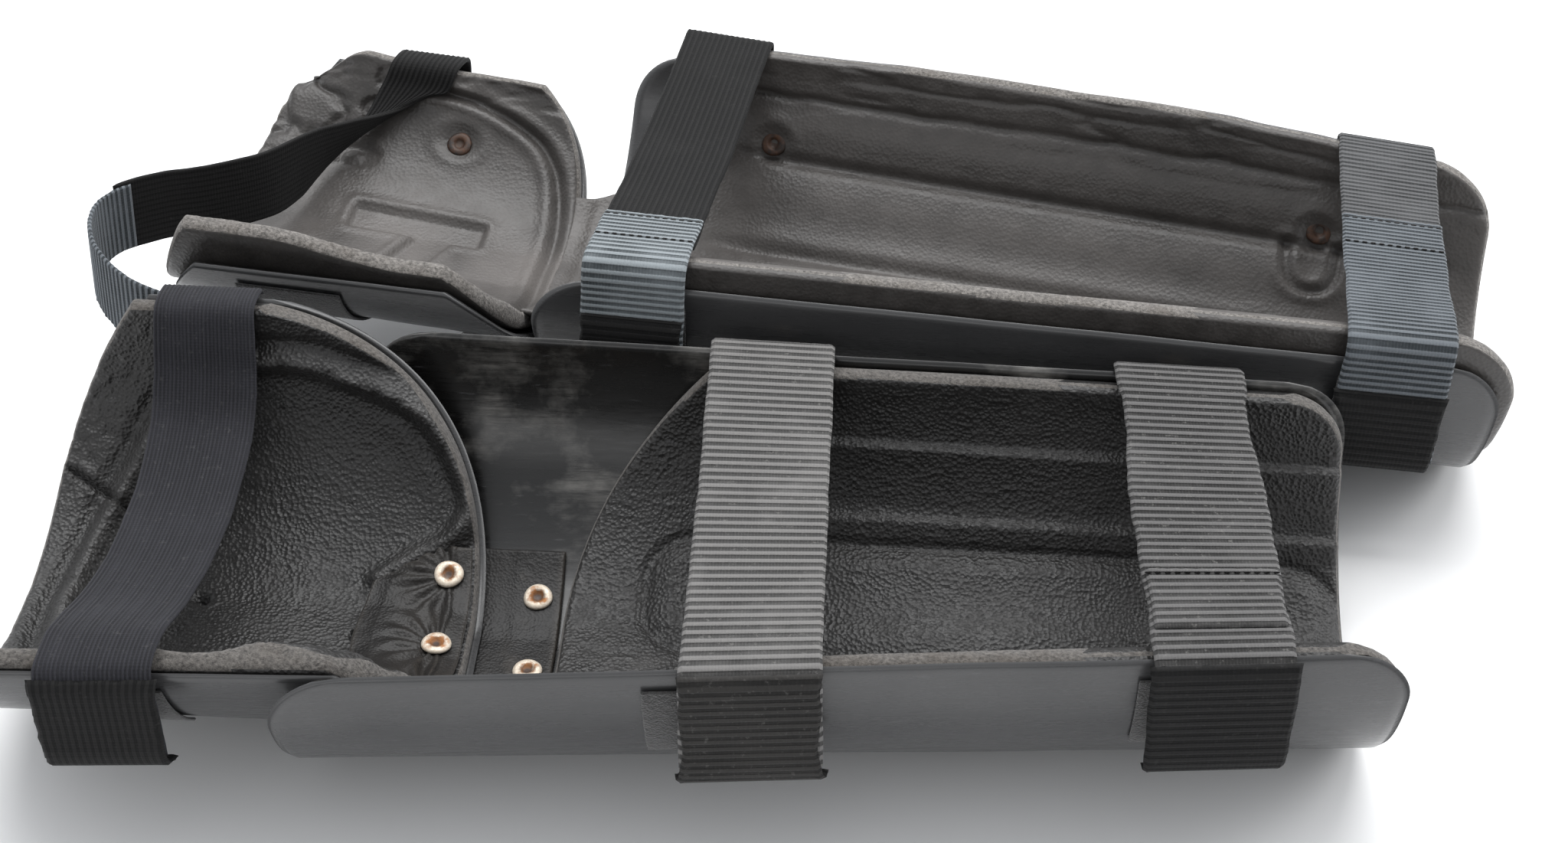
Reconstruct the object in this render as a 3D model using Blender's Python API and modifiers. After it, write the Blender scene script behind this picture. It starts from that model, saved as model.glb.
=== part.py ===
"""A pair of ice hockey leg guards, lying on their hard shells with the linings up.

Each guard is a tapered plastic shin trough and a plastic knee cup, joined by a leather
hinge strip, both lined with foam and closed by three straps. The left guard lies along X.
The right guard lies behind it, turned and tipped a little.

In a guard's own frame +X runs from the knee to the ankle, +Y to the side where the straps
are fastened, and +Z out of the open trough. Its origin is under the middle of the shin.
"""
import math

import bmesh
import bpy
from mathutils import Euler, Matrix, Vector

COLLECTION = "hockey_leg_guards"

# Where the pair stands: this puts the origin under the middle of the whole object.
PAIR_SHIFT = (0.0173, -0.0906, 0.0)

# ---- shin shell ----
SHIN_LENGTH = 0.307
KNEE_HALF_WIDTH = 0.083
ANKLE_HALF_WIDTH = 0.062
LEFT_RIM = 0.0715
RIGHT_RIM = 0.0660
KNEE_CORNER = 0.022
ANKLE_CORNER = 0.019
WALL = 0.0022

# ---- section of every trough: half an ellipse with a flat land underneath ----
LAND_ANGLE = math.radians(9.0)
SECTION_DEGREES = (0, 9, 18, 27, 36, 45, 54, 63, 72, 78, 83, 87, 90)
FULL_SECTION = [-math.radians(a) for a in reversed(SECTION_DEGREES[1:])]
FULL_SECTION += [math.radians(a) for a in SECTION_DEGREES]

# The left knee cup is cut lower along its near side than along its far side, and the right
# one is cut lower along both.
LEFT_CUP_NEAR = math.radians(-73.0)
RIGHT_CUP_RIM = math.radians(77.0)
LEFT_CUP_SECTION = [LEFT_CUP_NEAR] + [a for a in FULL_SECTION if a > LEFT_CUP_NEAR + 0.01]
RIGHT_CUP_SECTION = [-RIGHT_CUP_RIM, *[a for a in FULL_SECTION if abs(a) < RIGHT_CUP_RIM - 0.01],
                     RIGHT_CUP_RIM]

# ---- layers and gaps ----
GAP = 0.0004
LINER = 0.0065
STRIP = 0.0014
STRIP_INSET = WALL + 0.0003
HINGE_HEIGHT = STRIP_INSET + STRIP / 2
CUP_FLOOR = STRIP_INSET + STRIP + 0.0003
TAB = 0.0012
RIVET_RADIUS = 0.0046
RIVET_HEIGHT = 0.0012
RIVET_GAP = 0.0005
WEBBING = 0.0015
HOOK = 0.0010
PATCH = 0.0009
ANCHOR_LENGTH = 0.028

# ---- how far the right guard's lining stands above its plastic ----
SHIN_LIP = 0.008
KNEE_LIP = 0.006

COLOURS = {
    "plastic": ((0.035, 0.037, 0.040), 0.28),
    "foam": ((0.050, 0.047, 0.045), 0.75),
    "brown_foam": ((0.110, 0.100, 0.092), 0.75),
    "leather": ((0.030, 0.029, 0.030), 0.55),
    "elastic": ((0.030, 0.030, 0.034), 0.85),
    "webbing": ((0.110, 0.112, 0.118), 0.85),
    "fuzzy": ((0.035, 0.034, 0.034), 0.95),
    "brass": ((0.560, 0.420, 0.260), 0.45),
}


# ------------------------------------------------------------------ scene helpers

def clear_scene():
    for obj in list(bpy.data.objects):
        bpy.data.objects.remove(obj)


def make_collection(name):
    collection = bpy.data.collections.new(name)
    bpy.context.scene.collection.children.link(collection)
    return collection


def make_material(node, kind):
    colour, roughness = COLOURS[kind]
    material = bpy.data.materials.new(node)
    material.use_nodes = True
    shader = material.node_tree.nodes["Principled BSDF"]
    shader.inputs["Base Color"].default_value = (*colour, 1.0)
    shader.inputs["Roughness"].default_value = roughness
    shader.inputs["Metallic"].default_value = 1.0 if kind == "brass" else 0.0
    return material


def add_empty(name, parent=None, location=(0, 0, 0), rotation=(0, 0, 0)):
    empty = bpy.data.objects.new(name, None)
    empty.empty_display_size = 0.02
    empty.location = location
    empty.rotation_euler = rotation
    empty.parent = parent
    bpy.data.collections[COLLECTION].objects.link(empty)
    return empty


def add_part(node, mesh, kind, pivot):
    """Put a mesh that is in the guard's frame on an empty, with its origin there."""
    mesh.transform(Matrix.Translation(-Vector(pivot.location)))
    mesh.materials.append(make_material(node, kind))
    mesh.shade_smooth()
    mesh.set_sharp_from_angle(angle=math.radians(35))
    part = bpy.data.objects.new(node, mesh)
    part.parent = pivot
    bpy.data.collections[COLLECTION].objects.link(part)
    return part


def thicken(part, thickness, offset=-1.0):
    solidify = part.modifiers.new("thickness", "SOLIDIFY")
    solidify.thickness = thickness
    solidify.offset = offset


def grid_mesh(name, columns, rows, place):
    """A grid whose every vertex is moved to place(column, row)."""
    bm = bmesh.new()
    bmesh.ops.create_grid(bm, x_segments=columns, y_segments=rows, size=0.5)
    for vert in bm.verts:
        column = round((vert.co.x + 0.5) * columns)
        row = round((vert.co.y + 0.5) * rows)
        vert.co = place(column, row)
    mesh = bpy.data.meshes.new(name)
    bm.to_mesh(mesh)
    bm.free()
    return mesh


def mix(a, b, t):
    return a + (b - a) * t


# ------------------------------------------------------------------ trough shapes

class Trough:
    """A half-elliptic trough along X, whose half width and floor change evenly."""

    def __init__(self, x_range, half_width, floor, rim):
        self.x_range = x_range
        self.half_width = half_width
        self.floor = floor
        self.rim = rim

    def along(self, pair, x):
        low, high = self.x_range
        return mix(pair[0], pair[1], (x - low) / (high - low))

    def taper(self):
        """How fast the half width shrinks along X."""
        return (self.half_width[0] - self.half_width[1]) / (self.x_range[1] - self.x_range[0])

    def rise(self, angle):
        """The height of a point of the section, from 0 on the land to 1 at the rim."""
        land = math.cos(LAND_ANGLE)
        return (land - math.cos(max(abs(angle), LAND_ANGLE))) / land

    def height(self, angle):
        floor = (self.floor[0] + self.floor[1]) / 2
        return mix(floor, self.rim, self.rise(angle))

    def point(self, x, angle, inset=0.0, floor_inset=None, lip=0.0):
        """A point on the outer skin, or inset from it; lip is how far it clears the rim."""
        if floor_inset is None:
            floor_inset = inset
        floor = self.along(self.floor, x) + floor_inset
        y = (self.along(self.half_width, x) - inset) * math.sin(angle)
        return Vector((x, y, mix(floor, self.rim + lip, self.rise(angle))))

    def normal(self, x, angle):
        """The outward normal of the skin."""
        step = 0.01
        across = self.point(x, angle + step) - self.point(x, angle - step)
        along = self.point(x + step, angle) - self.point(x - step, angle)
        return across.cross(along).normalized()

    def angle_at(self, z, side):
        """The section angle that reaches height z on the side of sign side."""
        land = math.cos(LAND_ANGLE)
        floor = (self.floor[0] + self.floor[1]) / 2
        rise = (z - floor) / (self.rim - floor)
        return side * math.acos(land * (1 - rise))

    def reach(self, x, z):
        """How far the outer skin is from the middle at height z."""
        return self.point(x, self.angle_at(z, 1)).y

    def angle_across(self, y, x, inset=0.0):
        return math.asin(y / (self.along(self.half_width, x) - inset))


def corner(z, rim, radius):
    """How far an end is cut back at height z by a round corner at the rim."""
    rise = z - (rim - radius)
    if rise <= 0:
        return 0.0
    return radius - math.sqrt(max(radius * radius - rise * rise, 0.0))


def skin(node, kind, pivot, trough, ends, thickness, inset=0.0, floor_inset=None,
         angles=FULL_SECTION, columns=8, lip=0.0):
    """A curved sheet of a trough, between two ends that depend on the height."""
    def place(column, row):
        angle = angles[row]
        z = trough.height(angle)
        x = mix(ends[0](z), ends[1](z), column / columns)
        return trough.point(x, angle, inset, floor_inset, lip)

    mesh = grid_mesh(node, columns, len(angles) - 1, place)
    mesh.flip_normals()
    part = add_part(node, mesh, kind, pivot)
    thicken(part, thickness)
    return part


def spread(low, high, count):
    return [mix(low, high, i / (count - 1)) for i in range(count)]


# ------------------------------------------------------------------ bands and rivets

def smooth_path(points, per_span):
    """A smooth curve through the points of a path (Catmull-Rom)."""
    points = [Vector(p) for p in points]
    padded = [2 * points[0] - points[1], *points, 2 * points[-1] - points[-2]]
    path = []
    for i in range(1, len(padded) - 2):
        a, b, c, d = padded[i - 1:i + 3]
        for k in range(per_span):
            t = k / per_span
            path.append(0.5 * (2 * b + (c - a) * t + (2 * a - 5 * b + 4 * c - d) * t * t
                               + (3 * b - a - 3 * c + d) * t ** 3))
    path.append(points[-1])
    return path


def band(node, kind, pivot, path, widths, thickness):
    """A flat band along a path; widths holds the vector across the band at each point."""
    count = len(path) - 1

    def place(column, row):
        return path[column] + widths[column] * (row - 0.5)

    part = add_part(node, grid_mesh(node, count, 1, place), kind, pivot)
    thicken(part, thickness, 0.0)
    return part


def rivet(node, pivot, position, normal):
    """A low domed rivet head that sits just off a surface."""
    bm = bmesh.new()
    bmesh.ops.create_cone(bm, cap_ends=True, segments=14, radius1=RIVET_RADIUS,
                          radius2=RIVET_RADIUS * 0.72, depth=RIVET_HEIGHT)
    turn = normal.to_track_quat("Z", "Y").to_matrix().to_4x4()
    centre = position + normal * (RIVET_GAP + RIVET_HEIGHT / 2)
    bm.transform(Matrix.Translation(centre) @ turn)
    mesh = bpy.data.meshes.new(node)
    bm.to_mesh(mesh)
    bm.free()
    return add_part(node, mesh, "brass", pivot)


# ------------------------------------------------------------------ one strap

def strap_fastening(side, name, trough, x, width, body, rims, knee_shift=0.0):
    """The fixed anchor on the far wall, its rivet, and the loop patch on the near wall."""
    half = width / 2
    far_rim, near_rim = rims
    top = far_rim - 0.0024
    anchor_angles = [trough.angle_at(z, 1) for z in spread(top - ANCHOR_LENGTH, top, 6)]
    ends = (lambda z: x - half, lambda z: x + half)
    outset = -(GAP + WEBBING)
    skin(f"{side}_{name}_anchor", "elastic", body, trough, ends, WEBBING, outset,
         angles=anchor_angles, columns=2)
    angle = trough.angle_at(top - ANCHOR_LENGTH / 2, 1)
    normal = trough.normal(x, angle)
    rivet(f"{side}_{name}_anchor_rivet", body, trough.point(x, angle, outset), normal)

    top = near_rim - 0.006
    patch_angles = [trough.angle_at(z, -1) for z in spread(top, top - 0.030, 6)]
    ends = (lambda z: x - half - knee_shift, lambda z: x + half - knee_shift / 2)
    skin(f"{side}_{name}_patch", "fuzzy", body, trough, ends, PATCH, -(GAP + PATCH),
         angles=patch_angles, columns=2)


def cross_strap(side, name, kind, trough, lips, x, width, sag_points, drop, body, near_rim):
    """A strap from the far rim, across the opening and down outside the near wall.

    lips are how far the lining stands above the far and the near rim. sag_points are (y, z)
    places between the rims. drop is how far the end hangs.
    """
    half_width = trough.along(trough.half_width, x)
    near_half = trough.reach(x, near_rim)
    lip, near_lip = lips
    top = trough.rim + lip
    near_top = near_rim + near_lip
    hang = near_half + GAP + PATCH + GAP + HOOK + GAP + WEBBING / 2
    pivot_place = Vector((x, half_width + 0.0019, trough.rim - 0.0002))
    pivot = add_empty(f"{side}_{name}_axis", body.parent, pivot_place)

    over_far = [(half_width + 0.0019, trough.rim - 0.0002)]
    if lip > 0:
        over_far.append((half_width + 0.0019, trough.rim + lip * 0.6))
    over_far += [(half_width + 0.0002, top + 0.0018), (half_width - 0.0105, top + 0.0022)]
    over_near = [(-near_half + 0.0105, near_top + 0.0020),
                 (-near_half - 0.0010, near_top + 0.0018), (-hang, near_top - 0.0015)]
    hook_end = near_rim - drop
    down = [(-hang, z) for z in spread(near_top - 0.008, hook_end, 3)]
    route = [(x, y, z) for y, z in over_far + list(sag_points) + over_near + down]
    path = smooth_path(route, 3)

    def across(point):
        slope = -trough.taper() * point.y / half_width
        return Vector((width, width * slope, 0.0))

    band(f"{side}_{name}", kind, pivot, path, [across(p) for p in path], WEBBING)

    inner = hang - WEBBING / 2 - GAP - HOOK / 2
    hook_path = [Vector((x, -inner, z)) for z in spread(near_rim - 0.004, hook_end, 5)]
    band(f"{side}_{name}_hook", "fuzzy", pivot, hook_path,
         [across(p) * 0.96 for p in hook_path], HOOK)
    return pivot


# ------------------------------------------------------------------ one guard

def shin_shell(side, body, trough):
    half = SHIN_LENGTH / 2
    ends = (lambda z: -half + corner(z, trough.rim, KNEE_CORNER),
            lambda z: half - corner(z, trough.rim, ANKLE_CORNER))
    skin(f"{side}_shin_shell", "plastic", body, trough, ends, WALL)


def knee_end(cup, z):
    """The hinge edge of the knee cup: a quarter ellipse, seen from the side."""
    rise = min(max(z - cup["curve_foot"], 0.0) / cup["curve_height"], 1.0)
    return cup["curve_centre"] + cup["curve_length"] * math.sqrt(1 - rise * rise)


def thigh_end(cup, z):
    """The open end of the knee cup, which leans in towards its rim."""
    return cup["open_end"] + cup["open_lean"] * (z / cup["rim"]) ** 2


def knee_cup(side, body, cup):
    trough = cup["trough"]
    ends = (lambda z: thigh_end(cup, z) + 0.004, lambda z: knee_end(cup, z))
    skin(f"{side}_knee_shell", "plastic", body, trough, ends, WALL, angles=cup["section"],
         columns=6)


def hinge_strip(side, shin, knee, trough, cup):
    """The leather strip under the cup, in two halves that meet at the hinge line."""
    axis = cup["hinge_x"]

    def lift(z):
        return max(z + STRIP_INSET + STRIP - HINGE_HEIGHT, 0.0)

    angles = spread(-cup["strip_angle"], cup["strip_angle"], 9)
    knee_ends = (lambda z: axis - 0.030, lambda z: axis - 0.0008 - 0.45 * lift(z))
    shin_ends = (lambda z: axis + 0.0012 + 0.60 * lift(z), lambda z: axis + cup["strip_reach"])
    skin(f"{side}_hinge_strip_knee", "leather", knee, trough, knee_ends, STRIP,
         STRIP_INSET, angles=angles, columns=3)
    skin(f"{side}_hinge_strip_shin", "leather", shin, trough, shin_ends, STRIP,
         STRIP_INSET, angles=angles, columns=3)
    x = axis + cup["strip_reach"] - 0.0075
    inset = STRIP_INSET + STRIP
    for number, y in enumerate(cup["rivet_rows"], start=1):
        angle = trough.angle_across(y, x, inset)
        rivet(f"{side}_shin_rivet_{number}", shin, trough.point(x, angle, inset),
              -trough.normal(x, angle))


def left_guard(parent):
    side = "left"
    shin = add_empty("left_shin_frame", parent)
    trough = Trough((-SHIN_LENGTH / 2, SHIN_LENGTH / 2),
                    (KNEE_HALF_WIDTH, ANKLE_HALF_WIDTH), (0.0, 0.0), LEFT_RIM)
    cup = {
        "hinge_x": -0.1080, "rim": 0.086, "section": LEFT_CUP_SECTION,
        "curve_centre": -0.195, "curve_length": 0.083, "curve_foot": 0.005, "curve_height": 0.0825,
        "open_end": -0.250, "open_lean": 0.027,
        "strip_angle": math.radians(34), "strip_reach": 0.0195,
        "rivet_rows": (-0.033, -0.003, 0.027),
    }
    cup["trough"] = Trough((-0.250, -0.110), (0.0795, 0.0735), (0.0145, CUP_FLOOR), cup["rim"])
    knee = add_empty("left_knee_axis", parent, (cup["hinge_x"], 0.0, HINGE_HEIGHT))

    shin_shell(side, shin, trough)
    knee_cup(side, knee, cup)
    hinge_strip(side, shin, knee, trough, cup)

    def liner_knee_end(z):
        return -0.0870 + 0.043 * (z / 0.065) ** 1.3

    half = SHIN_LENGTH / 2
    liner_angles = [a for a in FULL_SECTION if abs(a) < math.radians(86)]
    ends = (liner_knee_end, lambda z: half - 0.0012 - corner(z, 0.0665, ANKLE_CORNER))
    skin("left_shin_liner", "foam", shin, trough, ends, LINER, WALL + GAP,
         angles=liner_angles, columns=7)
    ends = (lambda z: thigh_end(cup, z), lambda z: knee_end(cup, z) - 0.0015)
    skin("left_knee_liner", "foam", knee, cup["trough"], ends, LINER, WALL + GAP,
         angles=cup["section"], columns=6)
    knee_tab(knee, cup)

    straps = (("calf_strap", -0.024, 0.038, 0.010), ("ankle_strap", 0.101, 0.038, 0.003))
    for name, x, width, shift in straps:
        strap_fastening(side, name, trough, x, width, shin, (LEFT_RIM, LEFT_RIM), shift)
        level = LEFT_RIM + 0.0008
        sag = [(0.035, level), (0.0, level - 0.001), (-0.035, level)]
        cross_strap(side, name, "webbing", trough, (0.0, 0.0), x, width, sag, 0.033, shin,
                    LEFT_RIM)
    near_rim = cup["trough"].height(LEFT_CUP_NEAR)
    strap_fastening(side, "knee_strap", cup["trough"], -0.199, 0.032, knee,
                    (cup["rim"], near_rim))
    sag = [(0.0615, 0.0800), (0.0560, 0.0690), (0.0440, 0.0580), (0.0200, 0.0520),
           (-0.0100, 0.0530), (-0.0350, 0.0590), (-0.0520, 0.0655)]
    cross_strap(side, "knee_strap", "elastic", cup["trough"], (0.0, 0.0040), -0.199, 0.032, sag,
                0.025, knee, near_rim)


def knee_tab(knee, cup):
    """The leather tab over the hinge edge of the knee lining, with its rivets."""
    trough = cup["trough"]
    inset = WALL + GAP + LINER + 0.0003
    angles = spread(math.radians(-38), math.radians(30), 9)
    ends = (lambda z: -0.1440 + 0.15 * z, lambda z: knee_end(cup, z) - 0.0040)
    skin("left_knee_tab", "leather", knee, trough, ends, TAB, inset, angles=angles, columns=3)
    inset += TAB
    for number, y in enumerate((-0.033, -0.005, 0.023), start=1):
        angle = trough.angle_across(y, -0.1225, inset)
        rivet(f"left_knee_rivet_{number}", knee, trough.point(-0.1225, angle, inset),
              -trough.normal(-0.1225, angle))


def right_guard(parent):
    side = "right"
    shin = add_empty("right_shin_frame", parent)
    trough = Trough((-SHIN_LENGTH / 2, SHIN_LENGTH / 2),
                    (KNEE_HALF_WIDTH, ANKLE_HALF_WIDTH), (0.0, 0.0), RIGHT_RIM)
    cup = {
        "hinge_x": -0.1590, "rim": 0.060, "section": RIGHT_CUP_SECTION,
        "curve_centre": -0.225, "curve_length": 0.0625, "curve_foot": 0.005, "curve_height": 0.0570,
        "open_end": -0.2900, "open_lean": 0.030,
        "strip_angle": math.radians(34), "strip_reach": 0.034,
        "rivet_rows": (-0.030, 0.0, 0.030),
    }
    cup["trough"] = Trough((-0.279, -0.162), (0.0800, 0.0735), (0.0100, CUP_FLOOR), cup["rim"])
    knee = add_empty("right_knee_axis", parent, (cup["hinge_x"], 0.0, HINGE_HEIGHT))

    shin_shell(side, shin, trough)
    knee_cup(side, knee, cup)
    hinge_strip(side, shin, knee, trough, cup)

    half = SHIN_LENGTH / 2
    floor_inset = STRIP_INSET + STRIP + RIVET_GAP + RIVET_HEIGHT + 0.0006
    ends = (lambda z: -0.1565 + 0.40 * z + corner(z, RIGHT_RIM, 0.016),
            lambda z: half + 0.0045 - corner(z, RIGHT_RIM, 0.024))
    skin("right_shin_liner", "brown_foam", shin, trough, ends, LINER, WALL + GAP,
         floor_inset, columns=8, lip=SHIN_LIP)
    ends = (lambda z: thigh_end(cup, z), lambda z: knee_end(cup, z) - 0.0015)
    skin("right_knee_liner", "brown_foam", knee, cup["trough"], ends, LINER, WALL + GAP,
         angles=cup["section"], columns=6, lip=KNEE_LIP)
    liner_rivets(shin, knee, trough, cup, floor_inset)

    straps = (("calf_strap", -0.119, 0.032, 0.0), ("ankle_strap", 0.118, 0.033, 0.0))
    for name, x, width, shift in straps:
        strap_fastening(side, name, trough, x, width, shin, (RIGHT_RIM, RIGHT_RIM), shift)
        level = RIGHT_RIM + SHIN_LIP + 0.0012
        sag = [(0.035, level - 0.001), (0.0, level - 0.002), (-0.035, level - 0.001)]
        cross_strap(side, name, "elastic", trough, (SHIN_LIP, SHIN_LIP), x, width, sag, 0.033,
                    shin, RIGHT_RIM)
    cup_rim = cup["trough"].height(RIGHT_CUP_RIM)
    strap_fastening(side, "knee_strap", cup["trough"], -0.229, 0.030, knee, (cup_rim, cup_rim),
                    0.010)
    knee_loop(knee, cup)


def liner_rivets(shin, knee, trough, cup, floor_inset):
    """Rivets that hold the right guard's lining: two on the shin wall, one on the knee."""
    for number, x in enumerate((-0.098, 0.100), start=1):
        angle = math.radians(62)
        inset = WALL + GAP + LINER
        place = trough.point(x, angle, inset, floor_inset + LINER, SHIN_LIP)
        rivet(f"right_liner_rivet_{number}", shin, place, -trough.normal(x, angle))
    angle = math.radians(50)
    place = cup["trough"].point(-0.214, angle, WALL + GAP + LINER, lip=KNEE_LIP)
    rivet("right_liner_rivet_3", knee, place, -cup["trough"].normal(-0.214, angle))


def knee_loop(knee, cup):
    """The right knee strap, which runs out of the open end in a loose loop and back."""
    trough = cup["trough"]
    rim = trough.height(RIGHT_CUP_RIM)
    half_width = trough.reach(-0.229, rim)
    pivot = add_empty("right_knee_strap_axis", knee.parent,
                      (-0.229, half_width + 0.0019, rim - 0.0002))
    width = 0.026
    along = Vector((width, 0.0, 0.0))
    upright = Vector((0.0, 0.0, width))
    stations = [
        ((-0.229, half_width + 0.0019, rim - 0.0002), along),
        ((-0.229, half_width + 0.0019, rim + 0.0045), along),
        ((-0.229, half_width - 0.0010, rim + 0.0084), along),
        ((-0.230, half_width - 0.0110, rim + 0.0088), along),
        ((-0.233, 0.0610, rim + 0.0010), along),
        ((-0.2385, 0.0560, 0.0430), Vector((0.0235, 0.006, 0.009))),
        ((-0.2470, 0.0470, 0.0370), Vector((0.019, 0.012, 0.013))),
        ((-0.2550, 0.0350, 0.0345), Vector((0.012, 0.014, 0.018))),
        ((-0.2620, 0.0180, 0.0350), Vector((0.004, 0.008, 0.024))),
        ((-0.2690, -0.0020, 0.0370), upright),
        ((-0.2830, -0.0170, 0.0380), upright),
        ((-0.2980, -0.0270, 0.0380), upright),
        ((-0.3100, -0.0400, 0.0375), upright),
        ((-0.3115, -0.0560, 0.0370), upright),
        ((-0.3020, -0.0750, 0.0360), upright),
        ((-0.2820, -0.0900, 0.0340), upright),
        ((-0.2550, -0.0935, 0.0325), upright),
        ((-0.2280, -0.0920, 0.0320), upright),
    ]
    path = smooth_path([place for place, _ in stations], 3)
    widths = [w.normalized() * width for w in smooth_path([w for _, w in stations], 3)]
    band("right_knee_strap", "elastic", pivot, path, widths, WEBBING)
    hook_path = [Vector((x, -0.0904, 0.0325)) for x in spread(-0.2520, -0.2300, 3)]
    band("right_knee_strap_hook", "fuzzy", pivot, hook_path, [upright * 0.9] * 3, HOOK)


def build():
    clear_scene()
    make_collection(COLLECTION)
    pair = add_empty("pair", None, PAIR_SHIFT)
    left = add_empty("left_guard", pair)
    right = add_empty("right_guard", pair, (0.0565, 0.1510, 0.0095),
                      Euler((-0.035, 0.055, -0.130), "XYZ"))
    left_guard(left)
    right_guard(right)
    bpy.context.view_layer.update()


build()
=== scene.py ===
import math

import bpy
import numpy as np
from mathutils import Euler, Matrix, Vector


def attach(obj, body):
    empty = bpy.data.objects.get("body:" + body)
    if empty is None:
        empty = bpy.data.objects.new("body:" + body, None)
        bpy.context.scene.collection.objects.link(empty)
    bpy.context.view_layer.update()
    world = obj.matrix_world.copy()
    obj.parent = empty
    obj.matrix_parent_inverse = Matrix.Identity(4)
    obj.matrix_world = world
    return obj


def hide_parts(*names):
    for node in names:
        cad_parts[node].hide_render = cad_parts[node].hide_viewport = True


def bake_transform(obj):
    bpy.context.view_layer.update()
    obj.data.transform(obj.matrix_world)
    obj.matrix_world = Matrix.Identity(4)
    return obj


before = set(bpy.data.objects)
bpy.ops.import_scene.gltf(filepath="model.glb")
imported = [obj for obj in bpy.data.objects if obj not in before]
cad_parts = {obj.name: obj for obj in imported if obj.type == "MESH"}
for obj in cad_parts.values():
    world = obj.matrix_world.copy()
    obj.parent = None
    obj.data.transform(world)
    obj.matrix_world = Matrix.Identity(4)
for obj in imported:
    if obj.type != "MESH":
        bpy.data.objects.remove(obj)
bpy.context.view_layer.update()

# ---- where the guards lie, as in the frame ----
PAIR_SHIFT = Vector((0.0173, -0.0906, 0.0))
RIGHT_PLACE = Vector((0.0565, 0.1510, 0.0095))
RIGHT_TURN = Euler((-0.035, 0.055, -0.130), "XYZ")
PAIR = Matrix.Translation(PAIR_SHIFT)
GUARD = {"left": PAIR,
         "right": PAIR @ Matrix.Translation(RIGHT_PLACE) @ RIGHT_TURN.to_matrix().to_4x4()}

# ---- driving dimensions, in metres ----
SHIN_HALF = 0.1535                  # half the length of a shin shell
WALL = 0.0022                       # of a shell
GAP = 0.0004                        # air between pieces that lie on each other
LINER = 0.0065                      # foam
STRIP = 0.0014                      # hinge leather
STRIP_INSET = WALL + 0.0003
CUP_FLOOR = STRIP_INSET + STRIP + 0.0003
RIVET_RADIUS, RIVET_HEIGHT, RIVET_GAP = 0.0046, 0.0012, 0.0005
WEBBING, HOOK, PATCH = 0.0015, 0.0010, 0.0009           # thicknesses at a fastening
ANCHOR_LENGTH = 0.028
SHIN_LIP, KNEE_LIP = 0.008, 0.006   # how far the right linings stand over their shells
LEFT_RIM, RIGHT_RIM = 0.0715, 0.0660            # height of a shin shell
LAND = math.cos(math.radians(9.0))  # the floor of a trough is flat up to this angle
QUARTER = math.pi / 2
BESIDE = WALL + GAP                 # a lining's back, beside the shell
LINED = BESIDE + LINER              # a lining's face
STRIP_TOP = STRIP_INSET + STRIP
OVER_RIVETS = STRIP_TOP + RIVET_GAP + RIVET_HEIGHT + 0.0006
LINING_CUT, LINING_LEAN = -0.1565, 0.40         # knee end of the right shin lining
TAB_TOP = LINED + 0.0003
TAB_RIVETS = (-0.1225, (-0.033, -0.005, 0.023))             # x, and each y
SHIN_LINING_RIVETS = ((-0.098, 0.100), math.radians(62))    # each x, and the angle
KNEE_LINING_RIVET = (-0.214, math.radians(50))
FLOOR_LEVEL, FLOOR_REACH = -0.0004, 6.0
STRAPS = {"left": {"calf_strap": (-0.024, 0.038), "ankle_strap": (0.101, 0.038),
                   "knee_strap": (-0.199, 0.032)},
          "right": {"calf_strap": (-0.119, 0.032), "ankle_strap": (0.118, 0.033),
                    "knee_strap": (-0.229, 0.030)}}         # x, width
STRAP_DROP = 0.033                  # how far a front strap hangs below the near rim


# ------------------------------------------------------------------ camera and light

def make_camera():
    """The camera that was fitted to the rims of both guards."""
    data = bpy.data.cameras.new("camera")
    data.lens = 55.58
    data.sensor_width = 36.0
    camera = bpy.data.objects.new("camera", data)
    camera.location = PAIR_SHIFT + Vector((0.0032, -0.5462, 0.5030))
    camera.rotation_euler = (math.radians(53.5), 0.002, 0.037)
    bpy.context.scene.collection.objects.link(camera)
    bpy.context.scene.camera = camera


def make_light(name, place, target, size, watts):
    """A rectangular light that faces its target."""
    data = bpy.data.lights.new(name, "AREA")
    data.shape = "RECTANGLE"
    data.size, data.size_y = size
    data.energy = watts
    light = bpy.data.objects.new(name, data)
    light.location = place
    light.rotation_euler = (Vector(target) - Vector(place)).to_track_quat("-Z", "Y").to_euler()
    bpy.context.scene.collection.objects.link(light)


def make_studio():
    """A sky that is brighter above and behind, and three soft lights."""
    world = bpy.data.worlds.new("studio")
    world.use_nodes = True
    nodes, links = world.node_tree.nodes, world.node_tree.links
    direction = nodes.new("ShaderNodeTexCoord")
    height = nodes.new("ShaderNodeVectorMath")
    height.operation = "DOT_PRODUCT"
    height.inputs[1].default_value = (0.0, 0.45, 0.85)
    sky = nodes.new("ShaderNodeMapRange")
    sky.inputs["From Min"].default_value = -0.30
    sky.inputs["From Max"].default_value = 0.80
    sky.inputs["To Min"].default_value = 0.32
    sky.inputs["To Max"].default_value = 1.05
    links.new(direction.outputs["Generated"], height.inputs[0])
    links.new(height.outputs["Value"], sky.inputs["Value"])
    background = nodes["Background"]
    background.inputs["Color"].default_value = (0.95, 0.97, 1.0, 1.0)
    links.new(sky.outputs["Result"], background.inputs["Strength"])
    bpy.context.scene.world = world
    bpy.context.scene.view_settings.view_transform = "Standard"
    make_light("key", (0.05, 0.45, 1.5), (0.0, 0.0, 0.0), (1.8, 1.2), 27)
    make_light("front", (-0.4, -1.4, 0.6), (0.0, 0.0, 0.0), (1.6, 0.5), 3.0)
    make_light("window", (1.3, 0.3, 0.8), (0.1, 0.1, 0.0), (0.5, 0.8), 6)


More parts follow.
